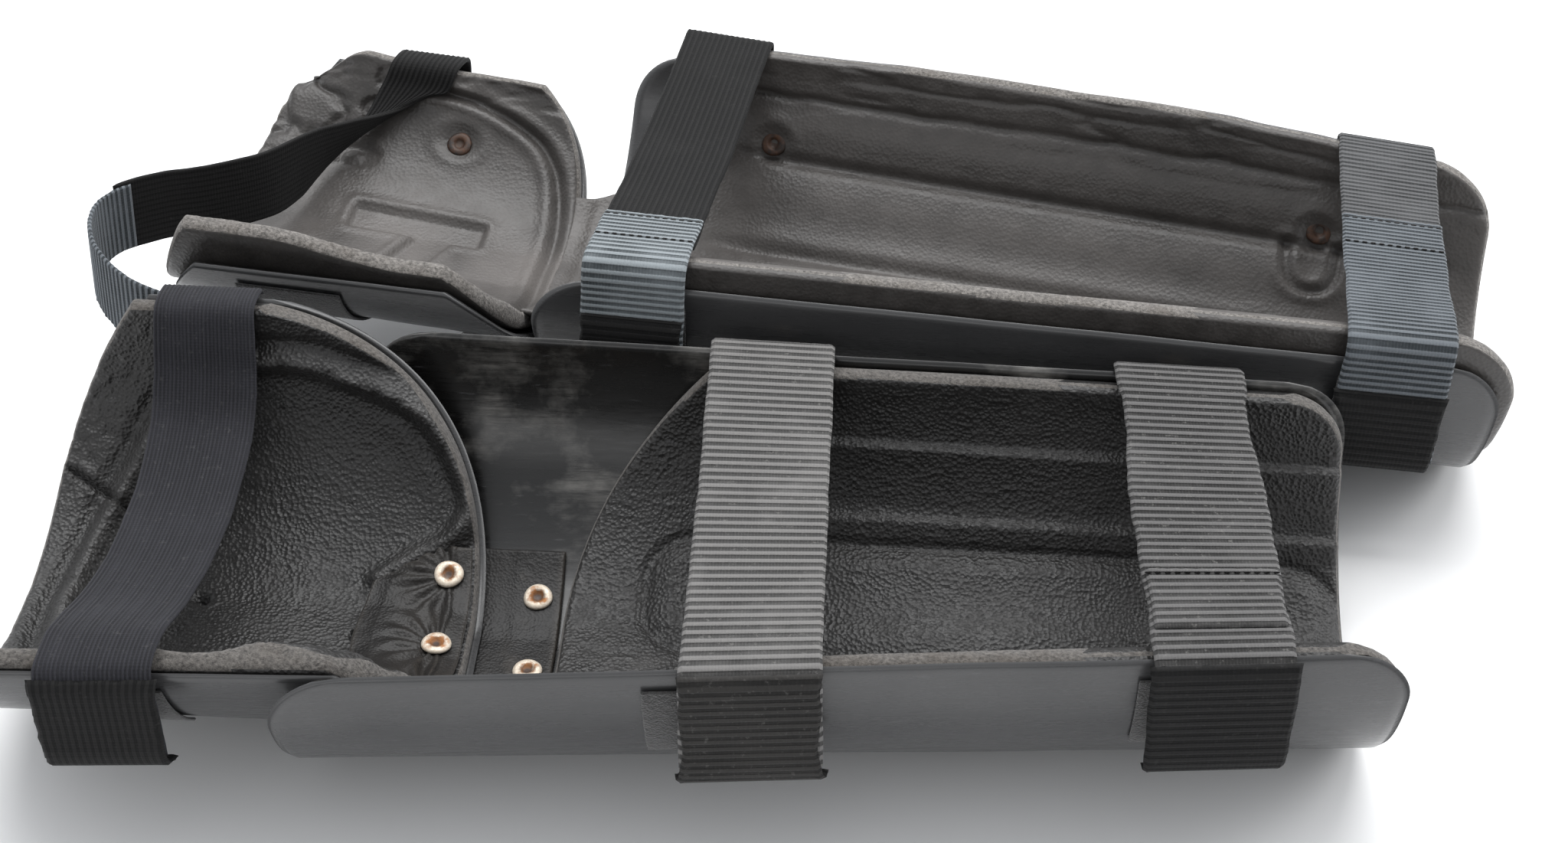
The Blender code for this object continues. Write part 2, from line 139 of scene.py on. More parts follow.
def make_floor():
    """A pale floor under the lowest point, for the picture only."""
    mesh = bpy.data.meshes.new("floor")
    corners = [(-1, -1), (1, -1), (1, 1), (-1, 1)]
    mesh.from_pydata([(x * FLOOR_REACH, y * FLOOR_REACH, FLOOR_LEVEL) for x, y in corners],
                     [], [(0, 1, 2, 3)])
    floor = bpy.data.objects.new("floor", mesh)
    bpy.context.scene.collection.objects.link(floor)
    paint = Paint("pale_floor")
    speck = paint.noise(paint.place(), 9.0, 3)
    paint.colour(paint.ramp(speck, [(0.3, (0.90, 0.90, 0.90)), (0.7, (0.93, 0.93, 0.93))]))
    paint.rough(0.6)
    mesh.materials.append(paint.material)


# ------------------------------------------------------------------ material nodes

class Paint:
    """A node material, with short names for the nodes that the finishes share."""

    def __init__(self, name):
        self.material = bpy.data.materials.new(name)
        self.material.use_nodes = True
        self.tree = self.material.node_tree
        self.shader = self.tree.nodes["Principled BSDF"]
        self.bumped = None

    def node(self, kind, **values):
        made = self.tree.nodes.new(kind)
        for key, value in values.items():
            setattr(made, key, value)
        return made

    def link(self, source, socket):
        self.tree.links.new(source, socket)

    def feed(self, socket, value):
        if hasattr(value, "links"):
            self.link(value, socket)
        else:
            socket.default_value = value

    def place(self):
        return self.node("ShaderNodeTexCoord").outputs["Object"]

    def lay(self, name="lay"):
        """The piece's own measure: metres along it, across it, and from its edge."""
        return self.node("ShaderNodeAttribute", attribute_name=name).outputs["Vector"]

    def part(self, vector, axis):
        made = self.node("ShaderNodeSeparateXYZ")
        self.link(vector, made.inputs[0])
        return made.outputs[axis]

    def scaled(self, vector, scale):
        made = self.node("ShaderNodeMapping")
        self.link(vector, made.inputs["Vector"])
        made.inputs["Scale"].default_value = scale
        return made.outputs["Vector"]

    def noise(self, vector, scale, detail=4, rough=0.55, stretch=None):
        made = self.node("ShaderNodeTexNoise")
        if stretch:
            vector = self.scaled(vector, stretch)
        self.link(vector, made.inputs["Vector"])
        made.inputs["Scale"].default_value = scale
        made.inputs["Detail"].default_value = detail
        made.inputs["Roughness"].default_value = rough
        return made.outputs["Fac"]

    def cells(self, vector, scale):
        made = self.node("ShaderNodeTexVoronoi")
        self.link(vector, made.inputs["Vector"])
        made.inputs["Scale"].default_value = scale
        return made.outputs["Distance"]

    def math(self, how, a, b=0.0):
        made = self.node("ShaderNodeMath", operation=how)
        self.feed(made.inputs[0], a)
        self.feed(made.inputs[1], b)
        return made.outputs[0]

    def wave(self, distance, pitch):
        """0 to 1 and back over every pitch metres."""
        turn = self.product(distance, 2 * math.pi / pitch)
        return self.math("ADD", self.product(self.math("SINE", turn), 0.5), 0.5)

    def ramp(self, value, stops):
        made = self.node("ShaderNodeValToRGB")
        self.link(value, made.inputs["Fac"])
        elements = made.color_ramp.elements
        while len(elements) < len(stops):
            elements.new(0.5)
        for element, (at, colour) in zip(elements, stops):
            element.position = at
            if isinstance(colour, (int, float)):
                colour = (colour,) * 3
            element.color = (*colour, 1.0)
        return made.outputs["Color"]

    def mask(self, value, low, high, top=1.0):
        """0 up to the low value, and top from the high value on."""
        return self.ramp(value, [(low, 0.0), (high, top)])

    def product(self, a, b):
        return self.math("MULTIPLY", a, b)

    def blend(self, amount, a, b):
        made = self.node("ShaderNodeMix", data_type="RGBA")
        self.feed(made.inputs["Factor"], amount)
        for socket, value in ((made.inputs[6], a), (made.inputs[7], b)):
            if isinstance(value, tuple):
                value = (*value, 1.0)
            self.feed(socket, value)
        return made.outputs[2]

    def bump(self, height, distance, strength=1.0):
        made = self.node("ShaderNodeBump")
        made.inputs["Distance"].default_value = distance
        made.inputs["Strength"].default_value = strength
        self.link(height, made.inputs["Height"])
        if self.bumped:
            self.link(self.bumped, made.inputs["Normal"])
        self.bumped = made.outputs["Normal"]
        self.link(self.bumped, self.shader.inputs["Normal"])

    def colour(self, source):
        self.feed(self.shader.inputs["Base Color"], source)

    def rough(self, source):
        self.feed(self.shader.inputs["Roughness"], source)

    def fixed(self, **values):
        for key, value in values.items():
            self.shader.inputs[key.replace("_", " ")].default_value = value


def plastic_paint(name, scuffed):
    """Glossy dark grey shell plastic; the scuffed kind has long pale rubs along X."""
    paint = Paint(name)
    place = paint.place()
    cloud = paint.noise(place, 14.0, 4)
    base = paint.ramp(cloud, [(0.3, (0.036, 0.036, 0.037)), (0.7, (0.056, 0.056, 0.057))])
    scratch = paint.noise(place, 60.0, 6, 0.7, stretch=(0.6, 9.0, 9.0))
    fine = paint.noise(place, 420.0, 3, 0.6, stretch=(0.25, 1.6, 1.6))
    if scuffed:
        base = paint.ramp(cloud, [(0.3, (0.003, 0.003, 0.003)), (0.7, (0.008, 0.0075, 0.007))])
        patch = paint.noise(place, 26.0, 6, 0.65, stretch=(0.9, 1.4, 1.0))
        rub = paint.product(paint.mask(patch, 0.50, 0.68),
                            paint.ramp(scratch, [(0.32, 0.1), (0.62, 1.0)]))
        base = paint.blend(rub, base, (0.16, 0.154, 0.143))
        stain = paint.mask(paint.noise(place, 30.0, 4), 0.60, 0.72, 0.5)
        base = paint.blend(stain, base, (0.040, 0.026, 0.016))
    mark = paint.product(paint.mask(fine, 0.66, 0.74), 0.25)
    paint.colour(paint.blend(mark, base, (0.11, 0.11, 0.115)))
    paint.rough(paint.ramp(scratch, [(0.3, 0.22), (0.75, 0.38)]))
    paint.bump(paint.noise(place, 90.0, 3), 0.00025, 0.35)
    paint.bump(fine, 0.00006, 0.5)
    paint.fixed(IOR=1.50, Coat_Weight=0.15, Coat_Roughness=0.18)
    return paint.material


def rim_highlight_paint(name):
    """The cut rim of a shell, painted pale and bright in patches: a painted highlight along the
    rim.
    """
    paint = Paint(name)
    place = paint.place()
    patch = paint.noise(place, 55.0, 4, 0.6)
    fine = paint.noise(place, 700.0, 3, 0.6)
    tone = paint.math("ADD", patch, paint.product(fine, 0.35))
    # Painted highlight: the pale stop of this ramp stands in for the light that the rim catches.
    paint.colour(paint.ramp(tone, [(0.52, (0.045, 0.045, 0.046)), (0.78, (0.36, 0.36, 0.35))]))
    paint.rough(0.45)
    paint.bump(fine, 0.0001, 0.6)
    return paint.material


def skin_paint(name, dark, light, roughness, grain, dust):
    """The moulded skin of a foam lining: fine pebble grain, creases, and soft pale patches that
    are partly wear and partly painted light.
    """
    paint = Paint(name)
    place = paint.place()
    cloud = paint.noise(place, 11.0, 5, 0.6)
    mottle = paint.noise(place, 130.0, 4, 0.6)
    base = paint.ramp(cloud, [(0.32, dark), (0.70, light)])
    base = paint.blend(0.35, base, paint.ramp(mottle, [(0.35, dark), (0.65, light)]))
    # Paler where the per-vertex mix is high: partly wear, partly painted light (paler floors,
    # and painted highlights on ridges and beads).
    wear_and_painted_light = paint.part(paint.lay("paint_mix"), "X")
    base = paint.blend(paint.product(wear_and_painted_light, 0.75), base,
                       tuple(2.3 * c + 0.012 for c in light))
    if dust:
        fleck = paint.ramp(paint.cells(place, 420.0), [(0.0, 1.0), (0.09, 0.0)])
        rare = paint.mask(paint.noise(place, 190.0, 2), 0.62, 0.68)
        fleck = paint.product(fleck, rare)
        base = paint.blend(paint.product(fleck, dust), base, (0.42, 0.40, 0.37))
    paint.colour(base)
    paint.rough(paint.ramp(mottle, [(0.3, roughness - 0.08), (0.7, roughness + 0.10)]))
    pebble = paint.cells(place, 800.0)
    crease = paint.noise(place, 190.0, 5, 0.65, stretch=(1.0, 2.2, 1.6))
    paint.bump(crease, 0.00045, grain)
    paint.bump(pebble, 0.00050, grain)
    paint.fixed(IOR=1.50, Sheen_Weight=0.04, Sheen_Roughness=0.5)
    return paint.material


def foam_paint(name, dark, light):
    """The cut edge of foam: open grain, dusty."""
    paint = Paint(name)
    place = paint.place()
    grit = paint.noise(place, 900.0, 4, 0.7)
    cloud = paint.noise(place, 60.0, 4, 0.6)
    base = paint.ramp(grit, [(0.32, dark), (0.68, light)])
    stain = paint.mask(cloud, 0.5, 0.75, 0.5)
    paint.colour(paint.blend(stain, base, (0.060, 0.045, 0.032)))
    paint.rough(0.93)
    paint.bump(grit, 0.0007, 0.8)
    paint.fixed(Sheen_Weight=0.15, Sheen_Roughness=0.6)
    return paint.material


def leather_paint(name):
    """Creased black leather, painted paler brown where the per-vertex mix is high: wear, and on
    the hinge strip's bend a painted highlight.
    """
    paint = Paint(name)
    place = paint.place()
    cloud = paint.noise(place, 45.0, 4)
    base = paint.ramp(cloud, [(0.35, (0.007, 0.0065, 0.0065)), (0.68, (0.018, 0.0165, 0.0155))])
    wear_and_painted_light = paint.product(paint.part(paint.lay("paint_mix"), "X"), 0.5)
    paint.colour(paint.blend(wear_and_painted_light, base, (0.105, 0.092, 0.078)))
    paint.rough(paint.ramp(cloud, [(0.3, 0.36), (0.7, 0.52)]))
    paint.bump(paint.noise(place, 150.0, 5, 0.65), 0.0006, 0.6)
    paint.bump(paint.cells(place, 1100.0), 0.00022, 0.6)
    paint.fixed(Specular_IOR_Level=0.28)
    return paint.material


def rib_paint(name, dark, light, ribs, threads, along, fuzz=0.0, sheen=0.10):
    """Woven strap. Ribs run along the strap or across it, with finer threads between."""
    paint = Paint(name)
    lay = paint.lay()
    place = paint.place()
    length, across = paint.part(lay, "X"), paint.part(lay, "Y")
    rib = paint.wave(across if along else length, ribs)
    thread = paint.wave(length if along else across, threads)
    bar = paint.mask(rib, 0.30, 0.62)
    weave = paint.math("ADD", paint.product(bar, 0.84),
                       paint.product(thread, 0.16))
    speck = paint.noise(place, 1300.0, 3, 0.7)
    cloud = paint.noise(place, 38.0, 4, 0.6)
    tone = paint.math("ADD", paint.product(weave, 0.80),
                      paint.product(speck, 0.32))
    base = paint.ramp(tone, [(0.22, dark), (0.85, light)])
    dusty = paint.mask(cloud, 0.45, 0.75, 0.35)
    base = paint.blend(dusty, base, tuple(1.5 * c + 0.002 for c in light))
    if fuzz:
        fluff = paint.mask(paint.noise(place, 520.0, 3, 0.7), 0.60, 0.70)
        base = paint.blend(paint.product(fluff, fuzz), base, (0.20, 0.195, 0.185))
    paint.colour(base)
    paint.rough(0.82)
    paint.bump(weave, 0.0003 if along else 0.0006, 0.8)
    paint.bump(speck, 0.00018, 0.7)
    paint.fixed(Sheen_Weight=sheen, Sheen_Roughness=0.45, Specular_IOR_Level=0.25)
    return paint.material


def fuzzy_paint(name, dark, light):
    """Hook or loop tape: dense tufts, dusty on top."""
    paint = Paint(name)
    place = paint.place()
    tuft = paint.cells(place, 1500.0)
    nap = paint.noise(place, 480.0, 5, 0.75)
    base = paint.ramp(nap, [(0.36, dark), (0.70, light)])
    paint.colour(paint.blend(0.35, base, paint.ramp(tuft, [(0.1, light), (0.6, dark)])))
    paint.rough(0.95)
    paint.bump(nap, 0.0010, 0.9)
    paint.bump(tuft, 0.0004, 0.8)
    paint.fixed(Sheen_Weight=0.35, Sheen_Roughness=0.6)
    return paint.material


def rivet_paint(name, rust):
    """Tarnished cream washer; rust sits in the dimple and spreads to the rim."""
    heavy = rust > 0.6
    paint = Paint(name)
    place = paint.place()
    radius = paint.part(paint.lay("paint_mix"), "X")
    patch = paint.noise(place, 330.0, 5, 0.65)
    fine = paint.noise(place, 1500.0, 3, 0.7)
    edge = paint.math("ADD", paint.product(patch, 1.5),
                      paint.product(radius, -0.2 if heavy else -0.75))
    base = paint.ramp(fine, [(0.3, (0.52, 0.43, 0.33)), (0.7, (0.72, 0.65, 0.55))])
    amount = paint.ramp(edge, [(0.32 - 0.25 * rust, 0.0), (0.62 - 0.30 * rust, 1.0)])
    deep = (0.016, 0.011, 0.009) if heavy else (0.060, 0.030, 0.018)
    glow = (0.085, 0.036, 0.016) if heavy else (0.40, 0.17, 0.055)
    orange = paint.ramp(patch, [(0.38, deep), (0.66, glow)])
    rusted = paint.blend(amount, base, orange)
    pit = paint.ramp(radius, [(0.16, 1.0), (0.40, 0.0)])
    paint.colour(paint.blend(pit, rusted, (0.045, 0.026, 0.018)))
    paint.rough(paint.ramp(patch, [(0.3, 0.36), (0.7, 0.72)]))
    paint.bump(fine, 0.00012, 0.6)
    paint.fixed(Metallic=0.35, IOR=1.6)
    return paint.material


# ------------------------------------------------------------------ smooth seeded noise

def value_noise(points, scale, seed):
    """Smooth noise from -1 to 1 at an array of points (..., 3)."""
    scaled = np.asarray(points) * scale
    cell = np.floor(scaled).astype(np.int64)
    t = scaled - cell
    t = t * t * (3 - 2 * t)
    total = np.zeros(scaled.shape[:-1])
    for corner in np.ndindex(2, 2, 2):
        key = ((cell[..., 0] + corner[0]) * 73856093 ^ (cell[..., 1] + corner[1]) * 19349663
               ^ (cell[..., 2] + corner[2]) * 83492791 ^ seed * 15485863)
        key = ((key ^ (key >> 13)) * 1274126177) & 0x7FFFFFFF
        value = ((key ^ (key >> 15)) & 0xFFFF) / 32767.5 - 1.0
        weight = np.prod([t[..., k] if corner[k] else 1 - t[..., k] for k in range(3)], axis=0)
        total = total + value * weight
    return total


def cloudy(points, scale, seed):
    return (value_noise(points, scale, seed) + 0.5 * value_noise(points, scale * 2.1, seed + 1)
            + 0.25 * value_noise(points, scale * 4.3, seed + 2)) / 1.4


def folds(points, scale, seed, sharp=5.0):
    """Narrow creases: near 1 where the noise crosses zero."""
    return np.exp(-(cloudy(points, scale, seed) * sharp) ** 2)


def bell(distance, width):
    return np.exp(-(distance / width) ** 2)


def smooth_step(value, low, high):
    t = np.clip((value - low) / (high - low), 0.0, 1.0)
    return t * t * (3 - 2 * t)


# ------------------------------------------------------------------ trough shapes

class Trough:
    """A half-elliptic trough along X, whose half width and floor change evenly."""

    def __init__(self, x_range, half_width, floor, rim):
        self.x_range, self.half_width, self.floor, self.rim = x_range, half_width, floor, rim

    def along(self, pair, x):
        """A measure at x that changes evenly from one end of the trough to the other."""
        low, high = self.x_range
        return pair[0] + (pair[1] - pair[0]) * (x - low) / (high - low)

    def taper(self):
        return (self.half_width[0] - self.half_width[1]) / (self.x_range[1] - self.x_range[0])

    def rise(self, angle):
        """0 on the floor to 1 at the rim."""
        return (LAND - np.minimum(np.cos(angle), LAND)) / LAND

    def height(self, angle):
        floor = sum(self.floor) / 2
        return floor + (self.rim - floor) * self.rise(angle)

    def point(self, x, angle, inset=0.0, floor_inset=None, lip=0.0):
        """A place on the trough, or in from it, with its rim raised by a lip."""
        floor = self.along(self.floor, x) + (inset if floor_inset is None else floor_inset)
        y = (self.along(self.half_width, x) - inset) * np.sin(angle)
        z = floor + (self.rim + lip - floor) * self.rise(angle)
        return np.stack(np.broadcast_arrays(x, y, z), axis=-1)

    def normal(self, x, angle):
        """The way out of the trough."""
        step = 0.01
        across = self.point(x, angle + step) - self.point(x, angle - step)
        along = self.point(x + step, angle) - self.point(x - step, angle)
        out = np.cross(across, along)
        return Vector(out / np.linalg.norm(out))

    def angle_at(self, z, side):
        """The angle at which one side of the trough reaches a height."""
        floor = sum(self.floor) / 2
        return side * math.acos(LAND * (1 - (z - floor) / (self.rim - floor)))

    def reach(self, x, z):
        """Half the trough's width at a height."""
        return self.point(x, self.angle_at(z, 1))[1]

    def angle_across(self, y, x, inset=0.0):
        return math.asin(y / (self.along(self.half_width, x) - inset))


def corner(z, rim, radius):
    """How far a round corner of the rim draws an end back at height z."""
    rise = np.clip(z - (rim - radius), 0.0, radius)
    return radius - np.sqrt(radius * radius - rise * rise)


def knee_end(cup, z):
    """The curved end of a knee cup, over the hinge."""
    rise = np.clip((z - cup["curve_foot"]) / cup["curve_height"], 0.0, 1.0)
    return cup["curve_centre"] + cup["curve_length"] * np.sqrt(1 - rise * rise)


def thigh_end(cup, z):
    """The open end of a knee cup, which leans with height."""
    return cup["open_end"] + cup["open_lean"] * (z / cup["rim"]) ** 2


SHIN = {side: Trough((-SHIN_HALF, SHIN_HALF), (0.083, 0.062), (0.0, 0.0), rim)
        for side, rim in (("left", LEFT_RIM), ("right", RIGHT_RIM))}
CUP = {
    "left": {"hinge_x": -0.1080, "rim": 0.086, "curve_centre": -0.195, "curve_length": 0.083,
             "curve_foot": 0.005, "curve_height": 0.0825, "open_end": -0.250,
             "open_lean": 0.027, "strip_angle": math.radians(34), "strip_reach": 0.0195,
             "rivet_rows": (-0.033, -0.003, 0.027),
             "section": (math.radians(-73), QUARTER),
             "trough": Trough((-0.250, -0.110), (0.0795, 0.0735), (0.0145, CUP_FLOOR), 0.086)},
    "right": {"hinge_x": -0.1590, "rim": 0.060, "curve_centre": -0.225,
              "curve_length": 0.0625, "curve_foot": 0.005, "curve_height": 0.0570,
              "open_end": -0.2900, "open_lean": 0.030, "strip_angle": math.radians(34),
              "strip_reach": 0.034, "rivet_rows": (-0.030, 0.0, 0.030),
              "section": (math.radians(-77), math.radians(77)),
              "trough": Trough((-0.279, -0.162), (0.0800, 0.0735), (0.0100, CUP_FLOOR), 0.060)},
}


# ------------------------------------------------------------------ solids from grids

def graded(count, tight=0.18):
    """0 to 1 in count steps that are finer near both ends."""
    t = np.linspace(0.0, 1.0, count + 1)
    return (1 - tight) * t + tight * (0.5 - 0.5 * np.cos(np.pi * t))


def measure(points, axis):
    """Distance run along one axis of a grid of points."""
    step = np.linalg.norm(np.diff(points, axis=axis), axis=-1)
    run = np.cumsum(step, axis=axis)
    pad = [(0, 0), (0, 0)]
    pad[axis] = (1, 0)
    return np.pad(run, pad)


def grid_normals(points, towards):
    rows = np.gradient(points, axis=0)
    columns = np.gradient(points, axis=1)
    normal = np.cross(rows, columns)
    normal /= np.maximum(np.linalg.norm(normal, axis=-1, keepdims=True), 1e-12)
    flip = np.sign((normal * (np.asarray(towards) - points)).sum(-1).mean())
    return normal * flip


def roll_off(distance, radius):
    """How far a face drops at this distance from an edge rounded to a radius."""
    short = np.clip(radius - distance, 0.0, radius)
    return radius - np.sqrt(radius * radius - short * short)


class Sheet:
    """A curved sheet as a grid: rows run round the trough and columns along it."""

    def __init__(self, points, towards):
        self.points = points
        self.normal = grid_normals(points, towards)
        self.run_x = measure(points, 1)
        self.run_s = measure(points, 0)
        far_x = self.run_x[:, -1:] - self.run_x
        far_s = self.run_s[-1:, :] - self.run_s
        self.edge = np.minimum(np.minimum(self.run_x, far_x), np.minimum(self.run_s, far_s))
        middle = np.argmin(np.abs(points[:, :, 1].mean(axis=1)))
        self.s = self.run_s - self.run_s[middle:middle + 1, :]
        self.x = points[..., 0]


def trough_sheet(trough, ends, limits, inset, floor_inset=None, lip=0.0, size=(90, 90)):
    """A sheet between two angles round a trough and two ends, each a function of height.
    The lip lifts the rim; it may be a function of angle and place along."""
    angle = limits[0] + (limits[1] - limits[0]) * graded(size[0], 0.5)[:, None]
    heights = trough.height(angle)
    start, stop = ends[0](heights), ends[1](heights)
    x = start + (stop - start) * graded(size[1], 0.3)[None, :]
    if callable(lip):
        lip = lip(angle, x)
    points = trough.point(x, angle, inset, floor_inset, lip)
    sheet = Sheet(points, (float(x.mean()), 0.0, trough.rim))
    sheet.angle = angle + 0 * x
    return sheet


def band_ends(start, stop):
    """Two straight ends."""
    return (lambda z: start + 0 * z), (lambda z: stop + 0 * z)


def new_object(name, verts, faces, materials, matrix):
    mesh = bpy.data.meshes.new(name)
    mesh.from_pydata([tuple(v) for v in verts], [], faces)
    mesh.transform(matrix)
    for material in materials:
        mesh.materials.append(material)
    mesh.shade_smooth()
    obj = bpy.data.objects.new(name, mesh)
    bpy.context.scene.collection.objects.link(obj)
    return obj


def add_vectors(obj, name, values):
    """A vector for each vertex, for a material to read."""
    made = obj.data.attributes.new(name, "FLOAT_VECTOR", "POINT")
    made.data.foreach_set("vector", np.asarray(values, np.float32).ravel())


def grid_faces(rows, columns, offset, flip):
    i, j = np.meshgrid(np.arange(rows - 1), np.arange(columns - 1), indexing="ij")
    a = (offset + i * columns + j).ravel()
    quads = np.stack([a, a + 1, a + columns + 1, a + columns], axis=1)
    return quads[:, ::-1] if flip else quads


def rim_loop(rows, columns):
    top = [(0, j) for j in range(columns)]
    right = [(i, columns - 1) for i in range(1, rows)]
    bottom = [(rows - 1, j) for j in range(columns - 2, -1, -1)]
    left = [(i, 0) for i in range(rows - 2, 0, -1)]
    return [i * columns + j for i, j in top + right + bottom + left]


def closed_solid(name, front, rear, facing, materials, matrix):
    """A solid from a grid in front and one behind, joined all round. Returns its faces too."""
    rows, columns = front.shape[:2]
    total = rows * columns
    probe = np.cross(front[0, 1] - front[0, 0], front[1, 0] - front[0, 0])
    flip = (probe * facing).sum() < 0
    loop = np.array(rim_loop(rows, columns))
    after = np.roll(loop, -1)
    rim = np.stack([loop, loop + total, after + total, after], axis=1)
    faces = np.concatenate([grid_faces(rows, columns, 0, flip),
                            grid_faces(rows, columns, total, not flip),
                            rim[:, ::-1] if flip else rim])
    verts = np.concatenate([front.reshape(-1, 3), rear.reshape(-1, 3)])
    return new_object(name, verts, faces.tolist(), materials, matrix), faces


def thick_sheet(name, sheet, depth, back, round_edge, materials, matrix, paint_mix=None,
                fray=0.0):
    """A closed solid from a sheet: its face lies depth in from the sheet and its back lies
    back in from it, both rounded off at the edges. The second material takes the cut rim."""
    drop = roll_off(sheet.edge, round_edge)
    rough = fray * cloudy(sheet.points, 700.0, 3) * bell(sheet.edge, 0.0015) if fray else 0.0
    front = sheet.points + sheet.normal * (depth - drop + rough)[..., None]
    rear = sheet.points + sheet.normal * (back + drop)[..., None]
    obj, faces = closed_solid(name, front, rear, sheet.normal[0, 0], materials, matrix)
    if len(materials) > 1:
        edge = np.concatenate([sheet.edge.ravel()] * 2)
        near = edge[faces].mean(axis=1) < round_edge * 0.45
        obj.data.polygons.foreach_set("material_index", near.astype(np.int32))
    lay = np.stack([sheet.run_x, sheet.s, sheet.edge], axis=-1).reshape(-1, 3)
    add_vectors(obj, "lay", np.concatenate([lay, lay]))
    tone = np.zeros(sheet.edge.size) if paint_mix is None else np.asarray(paint_mix).ravel()
    tone = np.stack([tone] * 3, axis=-1)
    add_vectors(obj, "paint_mix", np.concatenate([tone, tone * 0]))
    return obj


def tube_faces(base, rings, turns):
    """The faces of a closed tube whose rings of points start at base."""
    faces = []
    for ring in range(base, base + (rings - 1) * turns, turns):
        for turn in range(turns):
            a, b = ring + turn, ring + (turn + 1) % turns
            faces.append((a, b, b + turns, a + turns))
    last = base + (rings - 1) * turns
    return faces + [tuple(range(base + turns - 1, base - 1, -1)),
                    tuple(range(last, last + turns))]


def finish_piece(obj, body, slot, *nodes):
    """Rides on a body, and stands for its CAD nodes if it has any."""
    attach(obj, body)
    if nodes:
        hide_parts(*nodes)


def bend_at_hinge(obj):
    """Bakes a piece's placement into its mesh; it does not bend it at the hinge."""
    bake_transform(obj)


# ------------------------------------------------------------------ distances on a lining

def to_path(x, s, path):
    """Distance from every (x, s) to a path of points."""
    best = np.full(x.shape, 1e9)
    for (ax, ay), (bx, by) in zip(path, path[1:]):
        dx, dy = bx - ax, by - ay
        t = np.clip(((x - ax) * dx + (s - ay) * dy) / (dx * dx + dy * dy), 0, 1)
        best = np.minimum(best, np.hypot(x - ax - t * dx, s - ay - t * dy))
    return best


def to_box(x, s, centre, half, radius):
    """Signed distance to a rectangle with round corners, negative inside."""
    dx = np.abs(x - centre[0]) - half[0] + radius
    ds = np.abs(s - centre[1]) - half[1] + radius
    outside = np.hypot(np.maximum(dx, 0), np.maximum(ds, 0))
    return outside + np.minimum(np.maximum(dx, ds), 0) - radius


def smooth_points(points, per_span):
    """A smooth path through all the points."""
    points = [np.asarray(p, float) for p in points]
    padded = [2 * points[0] - points[1], *points, 2 * points[-1] - points[-2]]
    path = []
    for i in range(1, len(padded) - 2):
        a, b, c, d = padded[i - 1:i + 3]
        for k in range(per_span):
            t = k / per_span
            path.append(0.5 * (2 * b + (c - a) * t + (2 * a - 5 * b + 4 * c - d) * t * t
                               + (3 * b - a - 3 * c + d) * t ** 3))
    path.append(points[-1])
    return np.array(path)


# ------------------------------------------------------------------ finishes

CALF_RIB, ANKLE_RIB = 0.00345, 0.00320          # bar spacing of the left guard's webbing


def make_finishes():
    """Every finish by its short name. Colours are linear red, green and blue."""
    black, soot = (0.0028, 0.0028, 0.0029), (0.0100, 0.0097, 0.0097)
    return {
        "plastic": plastic_paint("shell_plastic", False),
        "scuffed": plastic_paint("shell_plastic_scuffed", True),
        "edge": rim_highlight_paint("shell_rim_highlight"),
        "left_skin": skin_paint("left_skin", (0.0070, 0.0066, 0.0062),
                                (0.0190, 0.0178, 0.0171), 0.42, 0.85, 0.6),
        "right_skin": skin_paint("right_skin", (0.026, 0.0235, 0.0215),
                                 (0.066, 0.060, 0.056), 0.42, 0.30, 0.0),
        "left_foam": foam_paint("left_foam_edge", (0.022, 0.019, 0.017), (0.150, 0.138, 0.126)),
        "right_foam": foam_paint("right_foam_edge", (0.040, 0.036, 0.032),
                                 (0.250, 0.232, 0.214)),
        "leather": leather_paint("hinge_leather"),
        "elastic": rib_paint("charcoal_elastic", (0.0100, 0.0100, 0.0125),
                             (0.0220, 0.0220, 0.0270), 0.0012, 0.0009, True, 0.10, 0.04),
        "black_elastic": rib_paint("black_elastic", black, soot, 0.0020, 0.0010, True, 0.04,
                                   0.02),
        "webbing": rib_paint("grey_webbing", (0.042, 0.041, 0.040), (0.165, 0.160, 0.156),
                             CALF_RIB, 0.0009, False, 0.4),
        "dark_webbing": rib_paint("charcoal_webbing", (0.018, 0.0175, 0.017),
                                  (0.112, 0.109, 0.108), ANKLE_RIB, 0.0009, False, 0.4),
        "slate_webbing": rib_paint("slate_webbing", (0.024, 0.029, 0.033),
                                   (0.128, 0.142, 0.156), 0.0024, 0.0010, False, 0.1),
        "pale_webbing": rib_paint("pale_webbing", (0.045, 0.053, 0.058),
                                  (0.235, 0.260, 0.275), 0.0024, 0.0010, False, 0.1),
        "band": rib_paint("woven_band", (0.020, 0.021, 0.022), (0.100, 0.101, 0.104),
                          0.0024, 0.0012, False, 0.1),
        "tab": rib_paint("dark_tab", (0.010, 0.0095, 0.0090), (0.028, 0.0265, 0.0250),
                         0.0026, 0.0012, False, 0.22, 0.05),
        "black_tab": rib_paint("black_tab", black, soot, 0.0026, 0.0012, False, 0.05, 0.02),
        "fuzzy": fuzzy_paint("loop_tape", (0.006, 0.0058, 0.0056), (0.036, 0.033, 0.031)),
        "rivet": rivet_paint("washer_rivet", 0.5),
        "rusty": rivet_paint("rusty_rivet", 1.0),
        "thread": leather_paint("sewing_thread"),
        "lint": foam_paint("lint_fibres", (0.12, 0.115, 0.11), (0.30, 0.29, 0.28)),
    }


PAINT = make_finishes()


# ------------------------------------------------------------------ shells

